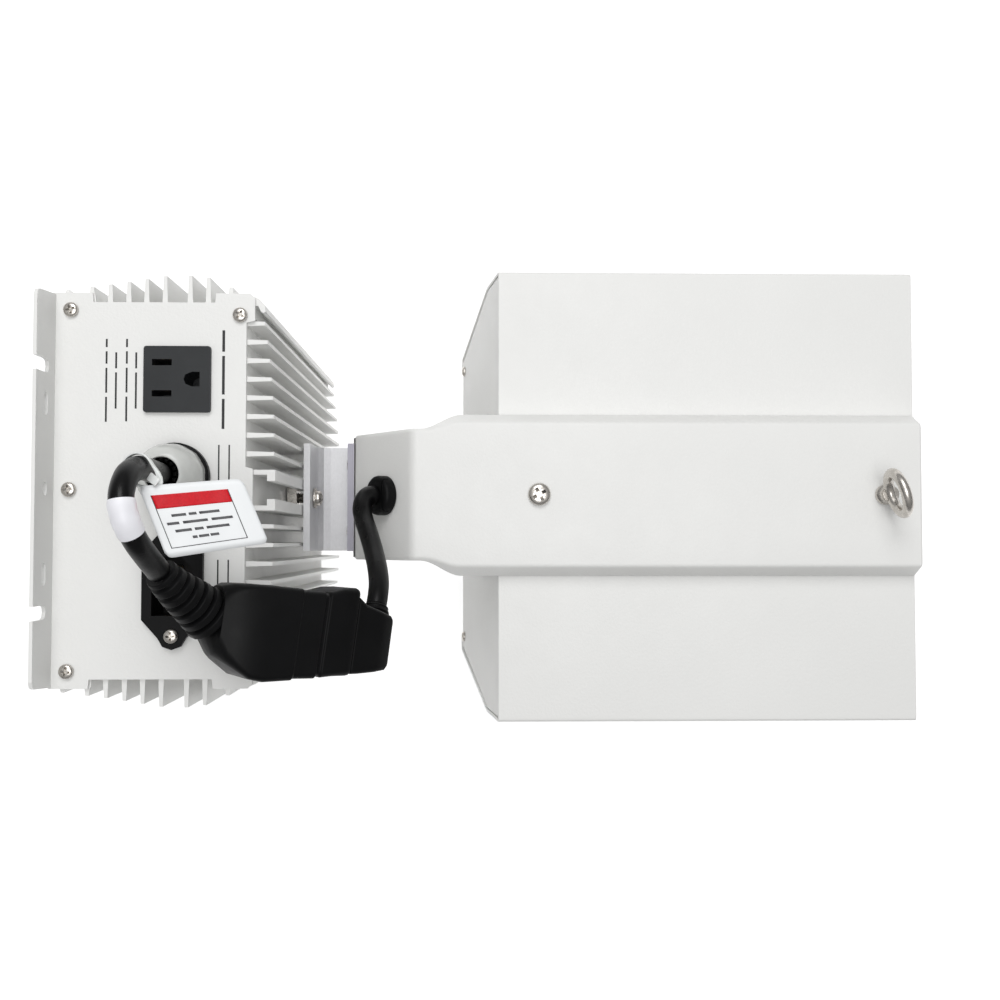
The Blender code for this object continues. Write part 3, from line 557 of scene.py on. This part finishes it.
NECK_X, NECK_TOP, SLOPE_END, SPINE_TOP = 112.5, 39.0, 141.4, 75.0
NECK_RISE = (SPINE_TOP - NECK_TOP) / (SLOPE_END - NECK_X)
BUSHING_X = 128.7
LEAD_D, CORD_D = 8.8, 8.5
LEAD_ROUTE = [(48.2, 5, 142.4), (48.4, 5.2, 152), (49.2, 5.4, 164), (49.6, 5, 176), (49.2, 1.5, 187),
              (49.2, -6, 193), (50.6, -13.5, 192.5), (52.8, -20.5, 188.5), (54.9, -26.5, 181),
              (56.6, -31.6, 172.6)]
CORD_ROUTE = [(123.5, 0, 63.4), (121.2, -0.2, 65.2), (119.4, -2.4, 67.6), (118.9, -6.4, 71.4),
              (120.3, -11.5, 75.5), (123.2, -18.3, 83), (126, -25.5, 91), (128.2, -32, 99),
              (129.4, -38, 105.3), (129.4, -43, 109.6), (128.95, -47.2, 111.95)]
RELIEF_ROUTE = [(56.95, -32.4, 171.4), (60.5, -37.6, 166), (65.8, -43.6, 159), (71.3, -49.9, 152)]
CONNECTOR_START = Vector((71.3, -49.9, 152))
CONNECTOR_AXIS = Vector((45.2, -7.8, -27)).normalized()
CONNECTOR_WIDE = (Vector((0, 1, 0)) - CONNECTOR_AXIS * CONNECTOR_AXIS.y).normalized()
CONNECTOR_THICK = CONNECTOR_AXIS.cross(CONNECTOR_WIDE)


def connector_section(reach, upper, lower, half_thick, radius):
    """A section this far along, reaching its own distance either side of the axis."""
    center = CONNECTOR_START + CONNECTOR_AXIS * reach + CONNECTOR_WIDE * (upper - lower) / 2
    return [center + CONNECTOR_WIDE * u + CONNECTOR_THICK * v
            for u, v in rounded((upper + lower) / 2, half_thick, radius, 5)]


def make_connector():
    """Female connector: ribbed bent relief growing into a slab-sided body with a collar."""
    line = smooth_route(RELIEF_ROUTE, 0.62)
    sections = []
    for i, point in enumerate(line[:-2]):
        share = i / (len(line) - 1)
        ahead = (line[min(i + 1, len(line) - 1)] - line[max(i - 1, 0)]).normalized()
        side = (CONNECTOR_WIDE - ahead * CONNECTOR_WIDE.dot(ahead)).normalized()
        other = ahead.cross(side)
        radius = 6.0 + 4.6 * share
        if i > 3 and i % 7 in (4, 5):
            radius *= 0.80  # the groove between two ribs
        sections.append([point + side * u + other * v for u, v in rounded(radius, radius, radius * 0.97, 5)])
    body = ((0, 12.6, 13.4, 10.8, 9), (3.5, 13.9, 15.4, 12.2, 5), (8, 14.4, 17.8, 13.4, 3.4),
            (12.5, 14.8, 20.4, 14.0, 2.6), (18, 15.1, 21.0, 14.3, 2.4), (29, 15.4, 19.4, 14.4, 2.4),
            (29.6, 14.8, 18.8, 13.9, 2.4), (38.4, 15.4, 17.9, 14.1, 2.4), (39.0, 14.6, 17.0, 13.2, 2.4),
            (40.2, 14.8, 16.9, 13.2, 2.4), (40.8, 15.6, 17.4, 13.8, 2.4), (46, 17.6, 16.4, 13.6, 2.4),
            (51.4, 18.4, 15.8, 13.4, 2.4), (52.9, 17.8, 15.4, 12.9, 2.4))
    sections += [connector_section(*s) for s in body]
    piece = make_piece("connector_body", skin(sections), BLACK, "slider", "output_connector", 32)
    return soften(piece, 0.35, 2, 40)


def make_plug():
    """Male plug, tapered, with a short side boss where its cord enters."""
    stations = ((53.2, 14.6, 14.4, 12.0, 1.6), (53.7, 15.0, 15.0, 12.4, 1.6), (57.0, 12.6, 14.6, 12.2, 1.6),
                (64.0, 10.8, 13.4, 11.6, 1.6), (68.8, 9.4, 12.2, 10.8, 1.6), (70.0, 8.4, 11.0, 9.9, 1.6))
    bm = skin([connector_section(*s) for s in stations])
    axis = (CONNECTOR_WIDE - Vector((0, 0, 0.45))).normalized()
    boss = [(0, 4.0), (6.1, 4.0), (6.0, 9.2), (5.2, 9.4), (5.2, 10.4), (5.8, 10.6), (5.6, 11.6),
            (5.0, 11.8), (5.0, 12.6), (5.3, 12.8), (5.0, 13.4), (0, 13.4)]
    lathe(boss, CONNECTOR_START + CONNECTOR_AXIS * 66, axis, 32, bm=bm)
    return soften(make_piece("plug_body", bm, BLACK, "slider", "lamp_plug", 32), 0.3, 2, 40)


def make_lead():
    """The output lead rises out of the gland, arches over and drops into the connector's relief."""
    points = smooth_route(LEAD_ROUTE, 1.6)
    lead = make_piece("output_lead_jacket", tube_mesh(points, LEAD_D / 2), JACKET, None)
    first = len(points) * 61 // 100
    sleeve_points = points[first:first + 9]
    shell = []
    for i, (point, side, other) in enumerate(frames_along(sleeve_points)):
        end = min(i, len(sleeve_points) - 1 - i)
        radius = LEAD_D / 2 + (0.25 if end == 0 else 0.5 + 0.06 * math.sin(i * 1.7))
        shell.append([point + side * u + other * v for u, v in circle(radius, 28)])
    sleeve = make_piece("lead_sleeve_shrink", skin(shell), SLEEVE, None)
    for piece, node in ((lead, "output_lead"), (sleeve, "lead_sleeve")):
        stand_for(piece, node)
        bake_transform(piece)
    return lead, sleeve, points


def make_cord():
    """The short cord from the hood's bushing to the plug."""
    points = smooth_route(CORD_ROUTE, 1.5)
    cord = make_piece("lamp_cord_jacket", tube_mesh(points, CORD_D / 2), JACKET, None)
    stand_for(cord, "lamp_cord")
    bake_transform(cord)
    return cord, points


TAG_CORNERS = [Vector(p) for p in
               ((51.2, -1.6, 180.4), (86.7, 1.3, 176), (95.6, -21.6, 172), (60.8, -27.0, 177.6))]
TAG_WORDS = (((0.0, 0.30), (0.36, 0.52), (0.58, 1.0)), ((0.0, 0.18), (0.24, 0.62), (0.68, 1.0)))


def tag_point(u, v, lift=0.0):
    """A point on the tag: u runs from its tie end to its far end, v from its upper edge down."""
    top = TAG_CORNERS[0].lerp(TAG_CORNERS[1], u)
    low = TAG_CORNERS[3].lerp(TAG_CORNERS[2], u)
    curl = 0.9 * math.sin(math.pi * u) * (0.5 + 0.5 * v) - 0.5 * math.sin(2 * math.pi * u)
    return top.lerp(low, v) + Vector((0, 0, curl + lift))


def tag_patch(name, low, high, mat, lift, steps=24, corner=0.0):
    """A thin patch of the tag between (u, v) corners, with rounded corners if asked."""
    bm = bmesh.new()
    rows = []
    for i in range(steps + 1):
        u = low[0] + (high[0] - low[0]) * i / steps
        near = min(u - low[0], high[0] - u)
        trim = corner * (1 - math.sqrt(max(0.0, 1 - (1 - near / corner) ** 2))) if near < corner else 0.0
        v0, v1 = low[1] + trim * 1.25, high[1] - trim * 1.25
        rows.append([bm.verts.new(tag_point(u, v0 + (v1 - v0) * k / 12, lift)) for k in range(13)])
    for a, b in zip(rows, rows[1:]):
        for k in range(12):
            bm.faces.new((a[k], b[k], b[k + 1], a[k + 1]))
    patch = make_piece(name, bm, mat, "tag")
    solid = patch.modifiers.new("thickness", "SOLIDIFY")
    solid.thickness, solid.offset = (0.3 if corner else 0.04) * MM, 0
    return patch


def make_tag():
    """A film tag: red heading band, thin frame, and grey bars where a notice would be printed."""
    card = tag_patch("tag_card", (0, 0), (1, 1), FILM, 0, 40, 0.06)
    stand_for(card, "lead_tag")
    left, right, top, low = 0.08, 0.83, 0.14, 0.88
    tag_patch("tag_band", (left, top), (right, 0.33), RED, 0.22)
    thin = 0.010
    edges = (((left, low - thin), (right, low)), ((left, top), (left + thin * 0.8, low)),
             ((right - thin * 0.8, top), (right, low)))
    for i, (a, b) in enumerate(edges):
        tag_patch(f"tag_frame_{i + 1}", a, b, DARK_INK, 0.24)
    rows = ((0.20, 0.67), (0.13, 0.77), (0.18, 0.71), (0.32, 0.58))
    for i, (start, stop) in enumerate(rows):
        v = 0.42 + 0.108 * i
        span = stop - start
        for k, (a, b) in enumerate(TAG_WORDS[i % 2]):
            tag_patch(f"tag_bar_{i + 1}_{k + 1}", (start + span * a, v), (start + span * b, v + 0.036),
                      GREY_INK, 0.24, 4)
    return card


def make_tie():
    """A soft strap looped round the lead, its two ends pinched together through the tag."""
    place = Vector((49.5, 4.8, 175.6))
    bm = bmesh.new()
    count = 40
    rings = []
    for i in range(count):
        angle = 2 * math.pi * i / count
        out = Vector((math.cos(angle), math.sin(angle), 0))
        pull = max(0.0, math.cos(angle + math.radians(38))) ** 6
        lift = 0.8 * math.sin(angle * 2) + 2.0 * pull
        center = place + out * (LEAD_D / 2 + 1.1 + 4.2 * pull) + Vector((0, 0, lift))
        rings.append([bm.verts.new(center + out * a + Vector((0, 0, b)))
                      for a, b in rounded(0.35 + 1.1 * pull, 1.6 - 1.1 * pull, 0.3, 2)])
    for a, b in zip(rings, rings[1:] + rings[:1]):
        join_rings(bm, a, b)
    tie = make_piece("tie_loop", bm, STRAP, "tag", "tag_tie")
    ends = [(54.6, 2.0, 178.2), (55.8, 1.2, 179.8), (57.0, 0.4, 180.7), (58.2, -0.5, 180.8)]
    tail = skin([[p + side * u + other * v for u, v in rounded(1.5, 0.4, 0.3, 2)]
                 for p, side, other in frames_along(smooth_route(ends, 0.5))])
    make_piece("tie_tail", tail, STRAP, "tag")
    return tie


GLAND = Vector((48.2, 5.0, 117.3))
GLAND_GRIPS = 12
GLAND_TEETH = 16


def make_gland_dome():
    """The nut: a domed outline of (radius, height, depth of the grip flats), hollow for the lead."""
    outline = ((9.9, 4.3, 0), (12.6, 4.3, 0), (13.0, 4.9, 0.25), (13.0, 11.5, 0.25), (12.6, 14.5, 0.15),
               (11.7, 18.0, 0), (10.4, 20.8, 0), (9.0, 22.2, 0), (7.7, 23.0, 0), (6.9, 23.0, 0),
               (6.6, 22.3, 0), (9.9, 16, 0))
    bm = bmesh.new()
    count, rings = 4 * GLAND_GRIPS, []
    for radius, height, cut_depth in outline:
        ring = []
        for i in range(count):
            angle = 2 * math.pi * i / count
            r = radius - cut_depth * (1 + math.cos(GLAND_GRIPS * angle)) / 2
            ring.append(bm.verts.new(GLAND + Vector((r * math.cos(angle), r * math.sin(angle), height))))
        rings.append(ring)
    for a, b in zip(rings, rings[1:] + rings[:1]):
        join_rings(bm, a, b)
    make_piece("gland_dome", bm, NYLON, "ballast", "gland_nut", 40)


def add_tooth(bm, angle):
    """One finger of the clamp ring, tapered toward the lead."""
    out = Vector((math.cos(angle), math.sin(angle), 0))
    side = Vector((-out.y, out.x, 0))
    corners = []
    for reach, height in ((6.1, 18.2), (6.3, 21.6), (5.8, 23.9), (4.9, 23.4), (4.9, 18.2)):
        wide = 0.75 * reach / 6.3
        base = GLAND + Vector((0, 0, height)) + out * reach
        corners.append((bm.verts.new(base - side * wide), bm.verts.new(base + side * wide)))
    for (a, b), (c, d) in zip(corners, corners[1:] + corners[:1]):
        bm.faces.new((a, c, d, b))
    bm.faces.new([pair[0] for pair in reversed(corners)])
    bm.faces.new([pair[1] for pair in corners])


def make_gland():
    """Domed nut with shallow flats, toothed clamp ring, and the threaded body's collar."""
    make_gland_dome()
    body = lathe([(5.1, -14), (10, -14), (10, 0), (13.4, 0), (13.9, 0.4), (13.9, 3.6), (13.4, 4),
                  (9.6, 4), (9.6, 15.5), (6.2, 18.6), (4.9, 18.6)], GLAND, count=40, closed=True)
    for i in range(GLAND_TEETH):
        add_tooth(body, 2 * math.pi * i / GLAND_TEETH)
    make_piece("gland_base", body, BLACK, "ballast", "gland_body", 40)


def make_bushing():
    """Round cord bushing on the neck's slope, with the split between its two halves."""
    place = Vector((BUSHING_X, 0, NECK_TOP + (BUSHING_X - NECK_X) * NECK_RISE))
    axis = Vector((-0.78, 0, 0.626)).normalized()
    body = [(0, -4.5), (6.1, -4.5), (6.1, 0.35), (8.7, 0.35), (9.05, 0.7), (9.05, 4.2), (8.8, 5.1),
            (8.2, 5.7), (7.3, 6.1), (6.0, 6.25), (0, 6.25)]
    bushing = make_piece("cord_bushing", lathe(body, place, axis, 48), BLACK, "hood", "strain_relief", 30)
    side = Vector((0, 1, 0))
    up = axis.cross(side)
    groove = ((-12, -5.6), (12, -5.6), (12, -5.0), (-12, -5.0))
    slab = [[place + axis * h + side * u + up * v for u, v in groove] for h in (2.2, 9)]
    split = make_piece("split_tool", skin(slab), BLACK, None, smooth=False)
    return cut(bushing, split)


# Fasteners -----------------------------------------------------------------------------------------

def screw_place(node, axis):
    """(seat centre, head radius, whole length) of a CAD screw whose head points along axis."""
    axis = Vector(axis).normalized()
    turn = Vector((0, 0, 1)).rotation_difference(axis).to_matrix()
    local = [turn.transposed() @ v.co / MM for v in NODES[node].data.vertices]
    middle = [(min(p[k] for p in local) + max(p[k] for p in local)) / 2 for k in (0, 1)]
    low, high = min(p.z for p in local), max(p.z for p in local)
    radius = (max(p.x for p in local) - min(p.x for p in local)) / 2
    return turn @ Vector((*middle, low)), radius, high - low


def cross_tool(radius, top, depth):
    """A Phillips recess as a closed tapered cross."""
    arm, half = radius * 0.62, radius * 0.15

    def outline(scale, z):
        a, h = arm * scale, half * (0.6 + 0.4 * scale)
        turns = [(a, -h), (a, h), (h, h)]
        points = []
        for c, s in ((1, 0), (0, 1), (-1, 0), (0, -1)):
            points += [Vector((u * c - v * s, u * s + v * c, z)) for u, v in turns]
        return points

    bm = skin([outline(0.42, top - depth), outline(1.0, top - depth * 0.25), outline(1.05, top + 1)])
    return make_piece("cross_tool", bm, STEEL, None, smooth=False, datum=Vector())


def screw_master(radius, head, shank_radius, shank):
    """A pan-head screw with its seat at the origin: domed head, Phillips recess, threaded shank."""
    dome = []
    for degrees in range(0, 90, 9):
        a = math.radians(degrees)
        dome.append((radius * math.cos(a) ** 0.6, head * (0.38 + 0.62 * math.sin(a) ** 0.9)))
    thread, pitch = [], 0.8
    turns = int(shank / pitch)
    for i in range(turns):
        low = -shank + i * pitch
        thread += [(shank_radius * 0.88, low + 0.05), (shank_radius, low + pitch * 0.5)]
    profile = [(0, -shank), *thread, (shank_radius * 0.88, 0), (radius * 0.96, 0), (radius, head * 0.12),
               *dome, (0, head)]
    screw = make_piece("screw_master", lathe(profile, count=36), STEEL, None, datum=Vector())
    return cut(screw, cross_tool(radius, head, head * 0.62)).data


def place_screws(nodes, axis, body, head, shank_radius, spin=0.0, sink=0.0):
    """Put a shared screw mesh where each CAD screw sits, each turned a little further."""
    mesh = None
    for i, node in enumerate(nodes):
        tip, radius, length = screw_place(node, axis)
        mesh = mesh or screw_master(radius, head, shank_radius, length - head)
        turn = Vector((0, 0, 1)).rotation_difference(Vector(axis)).to_matrix().to_4x4()
        piece = bpy.data.objects.new(f"{node}_driven", mesh)
        bpy.context.collection.objects.link(piece)
        seat = tip + Vector(axis).normalized() * (length - head - sink)
        piece.matrix_world = (Matrix.Translation(seat * MM) @ turn
                              @ Matrix.Rotation(spin + 1.13 * i, 4, "Z"))
        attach(piece, body)
        stand_for(piece, node)
    drop_master()


def drop_master():
    """Remove the screws that only lent their mesh."""
    for obj in [o for o in bpy.data.objects if o.name.startswith("screw_master")]:
        bpy.data.objects.remove(obj, do_unlink=True)


def make_screws():
    tilt = 0.15
    place_screws([f"top_screw_{i}" for i in range(1, 7)], (0, 0, 1), "ballast", 1.9, 1.2, 0.3)
    place_screws([f"bottom_screw_{i}" for i in range(1, 5)], (0, 0, -1), "ballast", 1.9, 1.2, 0.7)
    place_screws(["inlet_screw_1", "inlet_screw_2"], (0, 0, 1), "ballast", 2.0, 1.4, 0.5)
    place_screws(["bracket_screw_1", "bracket_screw_2"], (-1, 0, 0), "hood", 2.4, 1.9, 0.2)
    place_screws(["slot_bolt"], (1, 0, 0), "slider", 3.2, 2.5, 0.6)
    place_screws(["spine_screw"], (0, 0, 1), "hood", 2.9, 2.5, 0.5)
    place_screws(["left_rim_screw_1", "left_rim_screw_2"], (-1, 0, tilt), "hood", 1.7, 1.2, 0.4, 0.45)
    place_screws(["right_rim_screw_1", "right_rim_screw_2"], (1, 0, tilt), "hood", 1.7, 1.2, 0.9, 0.45)


EYE_SEAT = Vector((353.0, 0, 75.3))
EYE_HEIGHT, EYE_RADIUS, EYE_WIRE, EYE_TURN = 16.2, 9.0, 2.3, 17


def make_eyebolt():
    """Cast eye on a turned collar, over a threaded stem."""
    thread = []
    for i in range(16):
        thread += [(2.55, -16.2 + i), (2.9, -15.7 + i)]
    stem = [(0, -16.2), *thread, (2.55, 0), (4.2, 0), (4.5, 0.3), (4.5, 1.8), (4.2, 2.2), (3.3, 3.0),
            (2.9, 4.2), (3.1, 6.2), (3.6, 8.0), (0, 8.4)]
    bm = lathe(stem, EYE_SEAT, count=32)
    turn = Matrix.Rotation(math.radians(EYE_TURN), 3, "Z") @ Matrix.Rotation(math.radians(90), 3, "Y")
    center = EYE_SEAT + Vector((0, 0, EYE_HEIGHT))
    rings = []
    for i in range(64):
        angle = 2 * math.pi * i / 64
        spoke = Vector((math.cos(angle), math.sin(angle), 0))
        rings.append([bm.verts.new(center + turn @ (spoke * (EYE_RADIUS + a) + Vector((0, 0, b))))
                      for a, b in circle(EYE_WIRE, 18)])
    for a, b in zip(rings, rings[1:] + rings[:1]):
        join_rings(bm, a, b)
    make_piece("eyebolt_cast", bm, STEEL, "eyebolt", "eyebolt", 40)


# Hood ----------------------------------------------------------------------------------------------

HOOD_START, HOOD_END, HOOD_TOP, HOOD_FLARE, HOOD_SHEET = 180.0, 370.0, 65, 0.15, 1.5

# The cover's lower edge follows the neck, climbs the hood's end wall, then runs just above the roof.
NECK_EDGE, RAMP_START, RAMP_LENGTH, ROOF_EDGE = 6.0, 170.6, 8.85, 65.3
BEND_SOFT = 2.2
WIDEN_START, WIDEN_END = 145, 163


def eased(x, x0, x1):
    """0 before x0 and 1 after x1, with a smooth rise between."""
    t = min(1.0, max(0.0, (x - x0) / (x1 - x0)))
    return t * t * (3 - 2 * t)


def cover_top(x):
    """The cover's top line, with the bend at the head of the slope rounded."""
    d = x - SLOPE_END
    if d < -BEND_SOFT:
        return NECK_TOP + (x - NECK_X) * NECK_RISE
    if d > BEND_SOFT:
        return SPINE_TOP
    return SPINE_TOP - NECK_RISE * (BEND_SOFT - d) ** 2 / (4 * BEND_SOFT)


def cover_section(x):
    """Half the cover's section as (y, z) points from its lower edge up to its top line."""
    widen = eased(x, WIDEN_START, WIDEN_END)
    base = 29.5 + 7.0 * widen
    bevel = 1.4 + 2.9 * widen
    top = cover_top(x)
    low = NECK_EDGE + (ROOF_EDGE - NECK_EDGE) * min(1.0, max(0.0, (x - RAMP_START) / RAMP_LENGTH))
    shoulder = max(top - (1.4 + 7.4 * widen), low + 0.6)
    points = [(base, low), (base, low * 0.5 + shoulder * 0.5), (base, shoulder - 0.3)]
    points += arc_between((base, shoulder - 0.3), (base, shoulder), (base - bevel, top), 1.2)
    points += arc_between((base, shoulder), (base - bevel, top), (0, top), 1.4)
    points += [(base * 0.5, top), (0, top)]
    return points


def arc_between(a, b, c, radius):
    """Four points that round the corner at b, by a Bezier from a distance before it to one after."""
    before = Vector(a) - Vector(b)
    after = Vector(c) - Vector(b)
    reach = min(radius, before.length * 0.45 if before.length > 0.5 else 0.2, after.length * 0.45)
    p = Vector(b) + (before.normalized() * reach if before.length else Vector((0, 0)))
    q = Vector(b) + after.normalized() * reach
    return [tuple(p * (1 - t) ** 2 + Vector(b) * 2 * t * (1 - t) + q * t * t) for t in (0, 0.33, 0.67, 1)]


def make_cover():
    """Neck and spine: one thin pressed skin, closed at both ends and open below."""
    stations = [NECK_X + 0.01, NECK_X + 0.8, 120, 128, 134, 138.4]
    stations += [SLOPE_END + BEND_SOFT * (i - 3) / 3 for i in range(7)]
    stations += [WIDEN_START + (WIDEN_END - WIDEN_START) * i / 14 for i in range(15)]
    stations += [166, RAMP_START, 173.5, 176.5, 179.45, 182, 198, 220, 250, 280, 310, 335, 353, 365, 369.2]
    stations.append(HOOD_END - 0.01)
    bm = bmesh.new()
    rings = []
    for x in stations:
        half = cover_section(x)
        tuck = 0.5 if x in (stations[0], stations[-1]) else 0.0
        ring = [(x, y - tuck if y > 1 else 0, z - (tuck if i > 2 else 0)) for i, (y, z) in enumerate(half)]
        ring += [(a, -b, c) for a, b, c in reversed(ring[:-1])]
        rings.append([bm.verts.new(p) for p in ring])
    for a, b in zip(rings, rings[1:]):
        for i in range(len(a) - 1):
            bm.faces.new((a[i], b[i], b[i + 1], a[i + 1]))
    bm.faces.new(rings[0])
    bm.faces.new(list(reversed(rings[-1])))
    cover = make_piece("cover_skin", bm, WHITE, None, angle=28)
    solid = cover.modifiers.new("sheet", "SOLIDIFY")
    solid.thickness, solid.offset = 1.2 * MM, -1
    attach(cover, "hood")
    stand_for(cover, "spine_cover")


def bent_outline(corners, radii):
    """A line through corners in Y and Z with each inner corner rounded to its own radius."""
    line = [corners[0]]
    for (a, b, c), radius in zip(zip(corners, corners[1:], corners[2:]), radii):
        line += arc_between(a, b, c, radius)
    return line + [corners[-1]]


def make_wrap():
    """The hood's roof and sides as one folded sheet, standing for the three CAD pieces."""
    rim, knee, lip, half = -55, 32, 74, 102.5
    outer = [(lip, rim), (81, rim), (half, knee), (half, HOOD_TOP), (0, HOOD_TOP)]
    inner = [(lip, rim + HOOD_SHEET), (79.8, rim + HOOD_SHEET), (half - HOOD_SHEET, knee),
             (half - HOOD_SHEET, HOOD_TOP - HOOD_SHEET), (0, HOOD_TOP - HOOD_SHEET)]
    outlines = [bent_outline(outer, (1.6, 3, 2.4)), bent_outline(inner, (0.6, 2, 1.0))]
    bm = bmesh.new()
    rows = []
    for line in outlines:
        full = line + [(-y, z) for y, z in reversed(line[:-1])]
        for x, sign in ((HOOD_START, -1), (HOOD_END, 1)):
            rows.append([bm.verts.new((x + sign * HOOD_FLARE * (HOOD_TOP - z), y, z)) for y, z in full])
    order = [rows[0], rows[1], rows[3], rows[2]]
    for a, b in zip(order, order[1:] + order[:1]):
        for i in range(len(a) - 1):
            bm.faces.new((a[i], b[i], b[i + 1], a[i + 1]))
    for end in (0, -1):
        bm.faces.new([row[end] for row in order])
    wrap = make_piece("hood_wrap", bm, WHITE, "hood", angle=28)
    stand_for(wrap, "hood_roof", "hood_side_1", "hood_side_2")
    return soften(wrap, 0.35, 2, 40)


def make_lamp_details():
    """Guide wires beside the arc tube, and a getter wire past its end."""
    for i, side in enumerate((1, -1)):
        route = [(185, side * 6, 25), (215, side * 9, 25), (260, side * 9, 25), (300, side * 5, 25)]
        make_piece(f"lamp_wire_{i + 1}", tube_mesh(smooth_route(route, 3), 0.5, 8), STEEL, "lamp")
    line = smooth_route([(262, 0, 31), (275, 0, 27), (290, 0, 25.5)], 3)
    make_piece("lamp_getter", tube_mesh(line, 0.6, 8), STEEL, "lamp")


# Printing and small trim on the end plate ----------------------------------------------------------

PLATE_TOP = 117.0
OUTLET_Y, SLOT_SPACING = 45.4, 12.7


def print_bar(bm, x0, x1, y0, y1):
    """One printed bar, lying just clear of the plate."""
    box(bm, (x0, y0, PLATE_TOP + 0.01), (x1, y1, PLATE_TOP + 0.05))


def printed_line(bm, x, y0, y1, height, words):
    """One line of stand-in print running down the plate: a plain bar for each word."""
    span = sum(words) + 1.0 * (len(words) - 1)
    y = y0
    for word in words:
        length = (y0 - y1) * word / span
        print_bar(bm, x - height / 2, x + height / 2, y - length, y)
        y -= length + (y0 - y1) / span


def make_printing():
    """Bars where the plate carries its ratings, and pairs of thin bars for the two large captions."""
    bm = bmesh.new()
    for x, y0, y1, words in ((31.4, 56.0, 33.0, (4, 9)), (27.6, 61.5, 27.8, (2, 3, 6, 6)),
                             (23.3, 56.0, 33.0, (4, 9)), (19.4, 61.5, 27.6, (2, 3, 6, 6))):
        printed_line(bm, x, y0, y1, 0.75, words)
    printed_line(bm, 66.8, 65.2, 24.8, 1.1, (5, 9, 7))
    for y0, y1 in ((18.3, -7.5), (-28.4, -50.0)):
        for x in (65.2, 69.4):
            print_bar(bm, x - 0.3, x + 0.3, y1, y0)
    make_piece("plate_print", bm, DARK_INK, "ballast", smooth=False)


def make_outlet_trim():
    """Sprung brass contacts seen inside the outlet's slots."""
    for i, side in enumerate((1, -1)):
        slot = OUTLET_Y + side * SLOT_SPACING / 2
        bm = box(bmesh.new(), (38.8, slot - 1.1, 103.8), (45.6, slot - 0.6, 112))
        piece = make_piece(f"outlet_contact_{i + 1}", bm, BRASS, "ballast", smooth=False)
        soften(piece, 0.1, 2)


# What each CAD node that stays on show is made of ---------------------------------------------------

FINISHES = {
    WHITE: "ballast_housing back_plate top_end_plate bottom_end_plate left_end_wall right_end_wall "
           "neck_floor",
    BLACK: "mains_inlet capacitor",
    SLATE: "outlet",
    BRASS: "inlet_pin_earth inlet_pin_line inlet_pin_neutral",
    STEEL: "slot_nut slot_washer eyebolt_nut socket_bracket",
    ALLOY: "bracket",
    MIRROR: "reflector",
    CERAMIC: "lamp_socket lamp_base arc_tube",
    GLASS: "lamp_envelope",
    GREEN: "circuit_board",
    FERRITE: "choke_core",
}
EDGES = {"ballast_housing": 0.25, "top_end_plate": 0.2, "bottom_end_plate": 0.2,
         "left_end_wall": 0.3, "right_end_wall": 0.3, "outlet": 0.3, "mains_inlet": 0.4, "bracket": 0.5,
         "lamp_base": 0.5, "lamp_socket": 0.6, "back_plate": 0.3, "slot_nut": 0.3, "slot_washer": 0.15}


def finish_nodes():
    """Give each CAD node that stays on show its material and soft edges."""
    for mat, names in FINISHES.items():
        for name in names.split():
            node = NODES[name]
            node.data.materials.clear()
            node.data.materials.append(mat)
            node.data.shade_smooth()
            node.data.set_sharp_from_angle(angle=math.radians(30))
            if name in EDGES:
                soften(node, EDGES[name])


# Where the painted shade goes on the bracket: up-facing faces past this X, within this depth of its top.
SHADED_EDGE_X, SHADED_EDGE_DEPTH = 0.111, 0.001


def paint_edge_shade():
    """Paint the up-facing top edge of the bracket leg beside the neck a darker violet grey, as painted
    shade.
    """
    bracket = NODES["bracket"]
    bracket.data.materials.append(SHADED_EDGE_PAINT)
    high = max((bracket.matrix_world @ v.co).z for v in bracket.data.vertices)
    for face in bracket.data.polygons:
        place = bracket.matrix_world @ face.center
        if place.x > SHADED_EDGE_X and face.normal.z > 0.9 and place.z > high - SHADED_EDGE_DEPTH:
            face.material_index = 1


def main():
    make_camera()
    make_studio()
    lead, sleeve, lead_line = make_lead()
    cord, cord_line = make_cord()
    connector, plug = make_connector(), make_plug()
    card, tie = make_tag(), make_tie()
    make_gland()
    bushing = make_bushing()
    make_screws()
    make_eyebolt()
    make_cover()
    make_wrap()
    make_lamp_details()
    make_printing()
    make_outlet_trim()
    finish_nodes()
    paint_edge_shade()


main()
bpy.context.view_layer.update()
